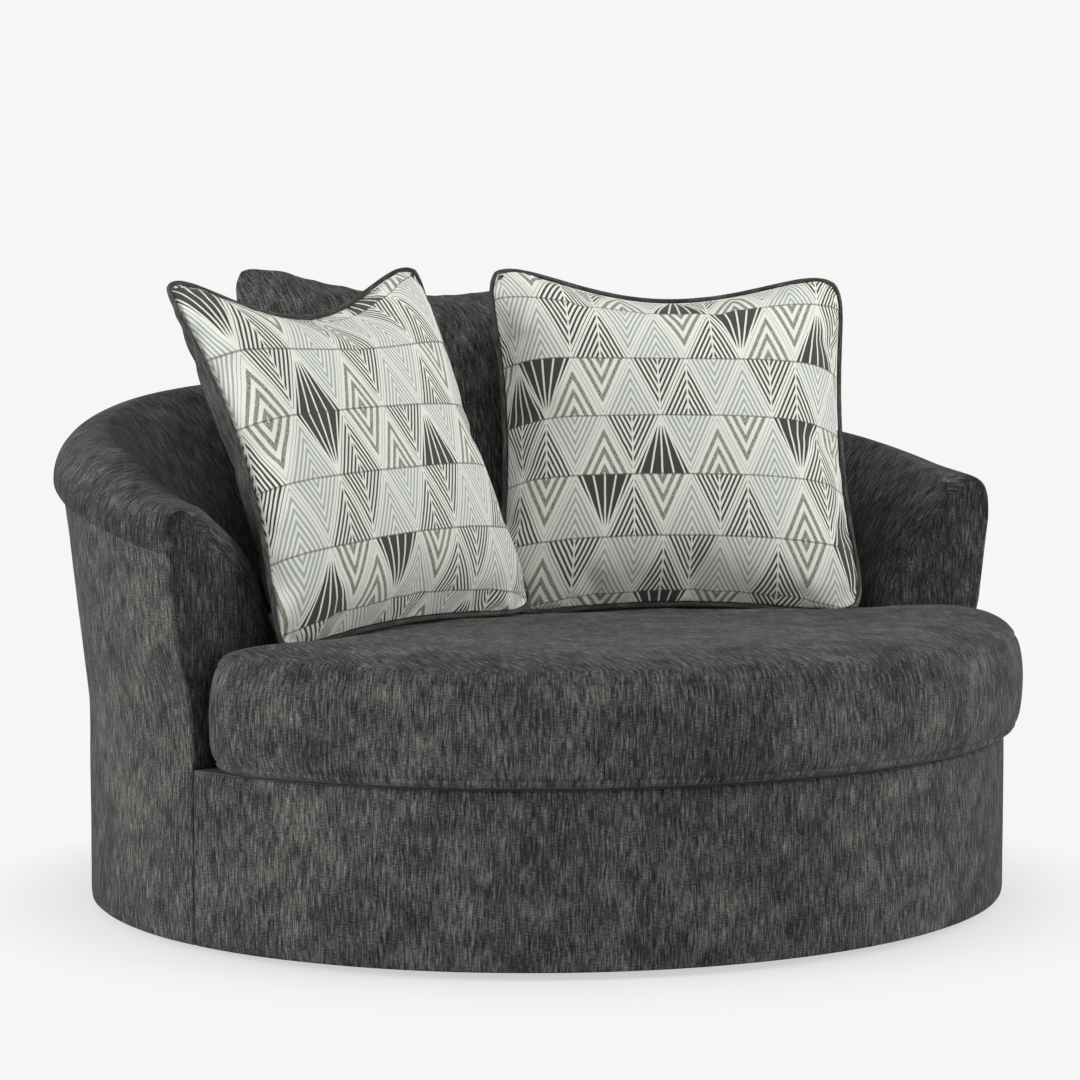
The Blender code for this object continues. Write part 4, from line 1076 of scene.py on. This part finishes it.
# %% Pillows in their places
def standing(place, turn, lean, roll):
    """The move that stands a pillow at its place: turned round, leant back and rolled, in degrees."""
    turned = Matrix.Rotation(radians(turn), 4, "Z") @ Matrix.Rotation(-radians(lean), 4, "X")
    return Matrix.Translation(place) @ turned @ Matrix.Rotation(-radians(roll), 4, "Y")


BACK_SIZE = (0.685, 0.588, 0.216)
ACCENT_SIZE = (0.588, 0.590, 0.172)
# Piece, body and seed, then size, dip, bend and sag, then place, turn, lean and roll.
pillow_plan = (
    ("back_pillow", "back_pillow_body", 3.0,
     (BACK_SIZE, 0.030, (0, 0), (1, -0.020, 0.030)), ((0.0, 0.2520, 0.4080), 0, 15, 0)),
    ("accent_pillow_left", "left_pillow_body", 1.0,
     (ACCENT_SIZE, 0.060, (0.034, 0.012), (-1, 0.008, 0.016)),
     ((-0.2935, -0.1258, 0.4180), 19.4, 22.9, 2.0)),
    ("accent_pillow_right", "right_pillow_body", 2.0,
     (ACCENT_SIZE, 0.036, (0.014, 0.012), (1, -0.004, 0.014)), ((0.1940, -0.1010, 0.4170), -25.5, 21, -0.5)),
)
resting = []
for node, body, seed, form, stand in pillow_plan:
    patterned = node.startswith("accent")
    front = pillow_jacquard if patterned else body_chenille
    pillow = sew(f"filled_{node}", pillow_faces(*form, seed), [front, body_chenille])
    filled(pillow)
    pillow.data.transform(standing(*stand))
    soften(pillow)
    resting.append(pillow)
    settle(pillow, body, "pattern" if patterned else "chenille", node)
    if patterned:
        welt_node = node.replace("pillow", "welt")
        welt = sew(f"sewn_{welt_node}", [welt_sheet(rim_line(*form))], [welt_chenille])
        welt.data.transform(standing(*stand))
        resting.append(welt)
        settle(welt, body, "welt", welt_node)

# %% [markdown]
# The seat cushion gives a little where the pillows stand on it. Short rays go up from under each of its
# top points, to find the underside of a pillow or welt. The point sinks to just below what it meets,
# and the foam round it follows in a soft hollow.

# %% Hollows under the pillows
PRESS_GAP = 0.0030
PRESS_DEPTH = 0.050
PRESS_SPREAD = 0.028
PRESS_REACH = 0.011


def rounded(piece):
    """A search tree of a piece's faces, as they are after rounding."""
    made = piece.evaluated_get(bpy.context.evaluated_depsgraph_get())
    mesh = made.to_mesh()
    tree = BVHTree.FromPolygons([vertex.co.copy() for vertex in mesh.vertices],
                                [tuple(face.vertices) for face in mesh.polygons])
    made.to_mesh_clear()
    return tree


def met(point, trees):
    """How far the point has to sink to clear everything that stands on it."""
    most = 0.0
    start = Vector(point - [0, 0, PRESS_DEPTH])
    for tree in trees:
        hit, _, _, away = tree.ray_cast(start, Vector((0, 0, 1)), PRESS_DEPTH + PRESS_GAP)
        if hit is not None:
            most = max(most, PRESS_DEPTH + PRESS_GAP - away)
    return most


trees = [rounded(piece) for piece in resting]
places = places_of(cushion)
upper = np.nonzero(places[:, 2] > CUSHION_BOTTOM + 0.9 * CUSHION_BORDER)[0]
steps = np.linspace(-PRESS_REACH, PRESS_REACH, 5)
sunk = np.array([max(met(places[index] + (across, along, 0.0), trees) for across in steps for along in steps)
                 for index in upper])
touched = sunk > 0
away = np.linalg.norm(places[upper][:, None, :2] - places[upper][touched][None, :, :2], axis=2)
places[upper, 2] -= np.max(sunk[touched] * np.exp(-(away / PRESS_SPREAD) ** 2), axis=1)
move_points(cushion, places)
print(f"cushion pressed: {touched.sum()} points, deepest {1000 * sunk.max():.1f} mm")

# %% [markdown]
# ## Floor, light and camera
# The photograph is a studio picture on one pale tone, with hardly a shadow. The floor is matt near the
# chair, where it takes its shadow, and fades into an even pale tone further out. Wide, soft lamps stand
# left, right, above and in front, so that the pile shines at the edges.

# %% Floor and background
BACKGROUND = 0.922
floor_mesh = bpy.data.meshes.new("studio_floor")
floor_mesh.from_pydata([(-30, -30, 0), (30, -30, 0), (30, 30, 0), (-30, 30, 0)], [], [(0, 1, 2, 3)])
floor = put("studio_floor", floor_mesh)
ground = Finish("studio_floor")
off_x, off_y, _ = ground.split(ground.place())
off_y = off_y - AXIS_Y
reach_out = (off_x * off_x + off_y * off_y).root()
far = 0.62 + 0.38 * reach_out.step(0.66, 0.92)
glow = ground.node("ShaderNodeEmission", {"Color": (1, 1, 1), "Strength": BACKGROUND})
rays = ground.node("ShaderNodeLightPath").socket.node.outputs
kinds = ("Is Camera Ray", "Is Glossy Ray", "Is Transmission Ray")
seen, mirrored, through = (Sum(ground.tree, rays[kind]) for kind in kinds)
direct = seen.either(mirrored).either(through)
ground.set(Base_Color=(0.80, 0.80, 0.80), Roughness=0.9)
blend = ground.node("ShaderNodeMixShader", {0: direct * far, 1: ground.shader.outputs[0], 2: glow})
ground.tree.links.new(blend.socket, ground.tree.nodes["Material Output"].inputs[0])
floor_mesh.materials.append(ground.material)

world = bpy.data.worlds.new("studio")
bpy.context.scene.world = world
world.use_nodes = True
sky = world.node_tree
sky.nodes.clear()
output = sky.nodes.new("ShaderNodeOutputWorld")
mixed = sky.nodes.new("ShaderNodeMixShader")
path = sky.nodes.new("ShaderNodeLightPath")
sky.links.new(path.outputs["Is Camera Ray"], mixed.inputs[0])
for index, tone, strength in ((1, 0.80, 0.30), (2, 1.0, BACKGROUND)):
    light = sky.nodes.new("ShaderNodeBackground")
    light.inputs[0].default_value = (tone, tone, tone, 1)
    light.inputs[1].default_value = strength
    sky.links.new(light.outputs[0], mixed.inputs[index])
sky.links.new(mixed.outputs[0], output.inputs[0])
print("background tone:", BACKGROUND)

# %% Lamps
lamp_plan = (("left", (-3.4, 0.2, 1.05), 1.7, 92.0), ("right", (2.6, -2.6, 1.5), 2.0, 86.0),
             ("top", (0.0, -0.2, 3.4), 2.4, 46.0), ("front", (-1.8, -4.8, 1.4), 2.4, 47.0))
for name, place, width, power in lamp_plan:
    lamp = bpy.data.lights.new(name, "AREA")
    lamp.size = width
    lamp.energy = power
    stand = put(name, lamp)
    stand.location = place
    stand.rotation_euler = (Vector((0, 0, 0.4)) - Vector(place)).to_track_quat("-Z", "Y").to_euler()
print("lamps:", len(lamp_plan))

# %% [markdown]
# ## Camera
# The camera stands a little over the seat, five metres off and to the chair's right, with a long lens.
# Its place was solved from the level curves of the chair's base and seams.

# %% Camera
lens = bpy.data.cameras.new("camera")
lens.sensor_width = 36.0
lens.lens = 99.97
camera = put("camera", lens)
camera.location = (-2.4240, -3.9385, 0.852)
camera.rotation_euler = (radians(90 - 3.88), 0, radians(-31.58))
bpy.context.scene.camera = camera
bpy.context.scene.view_settings.view_transform = "Standard"
print("camera:", [round(value, 3) for value in camera.location])
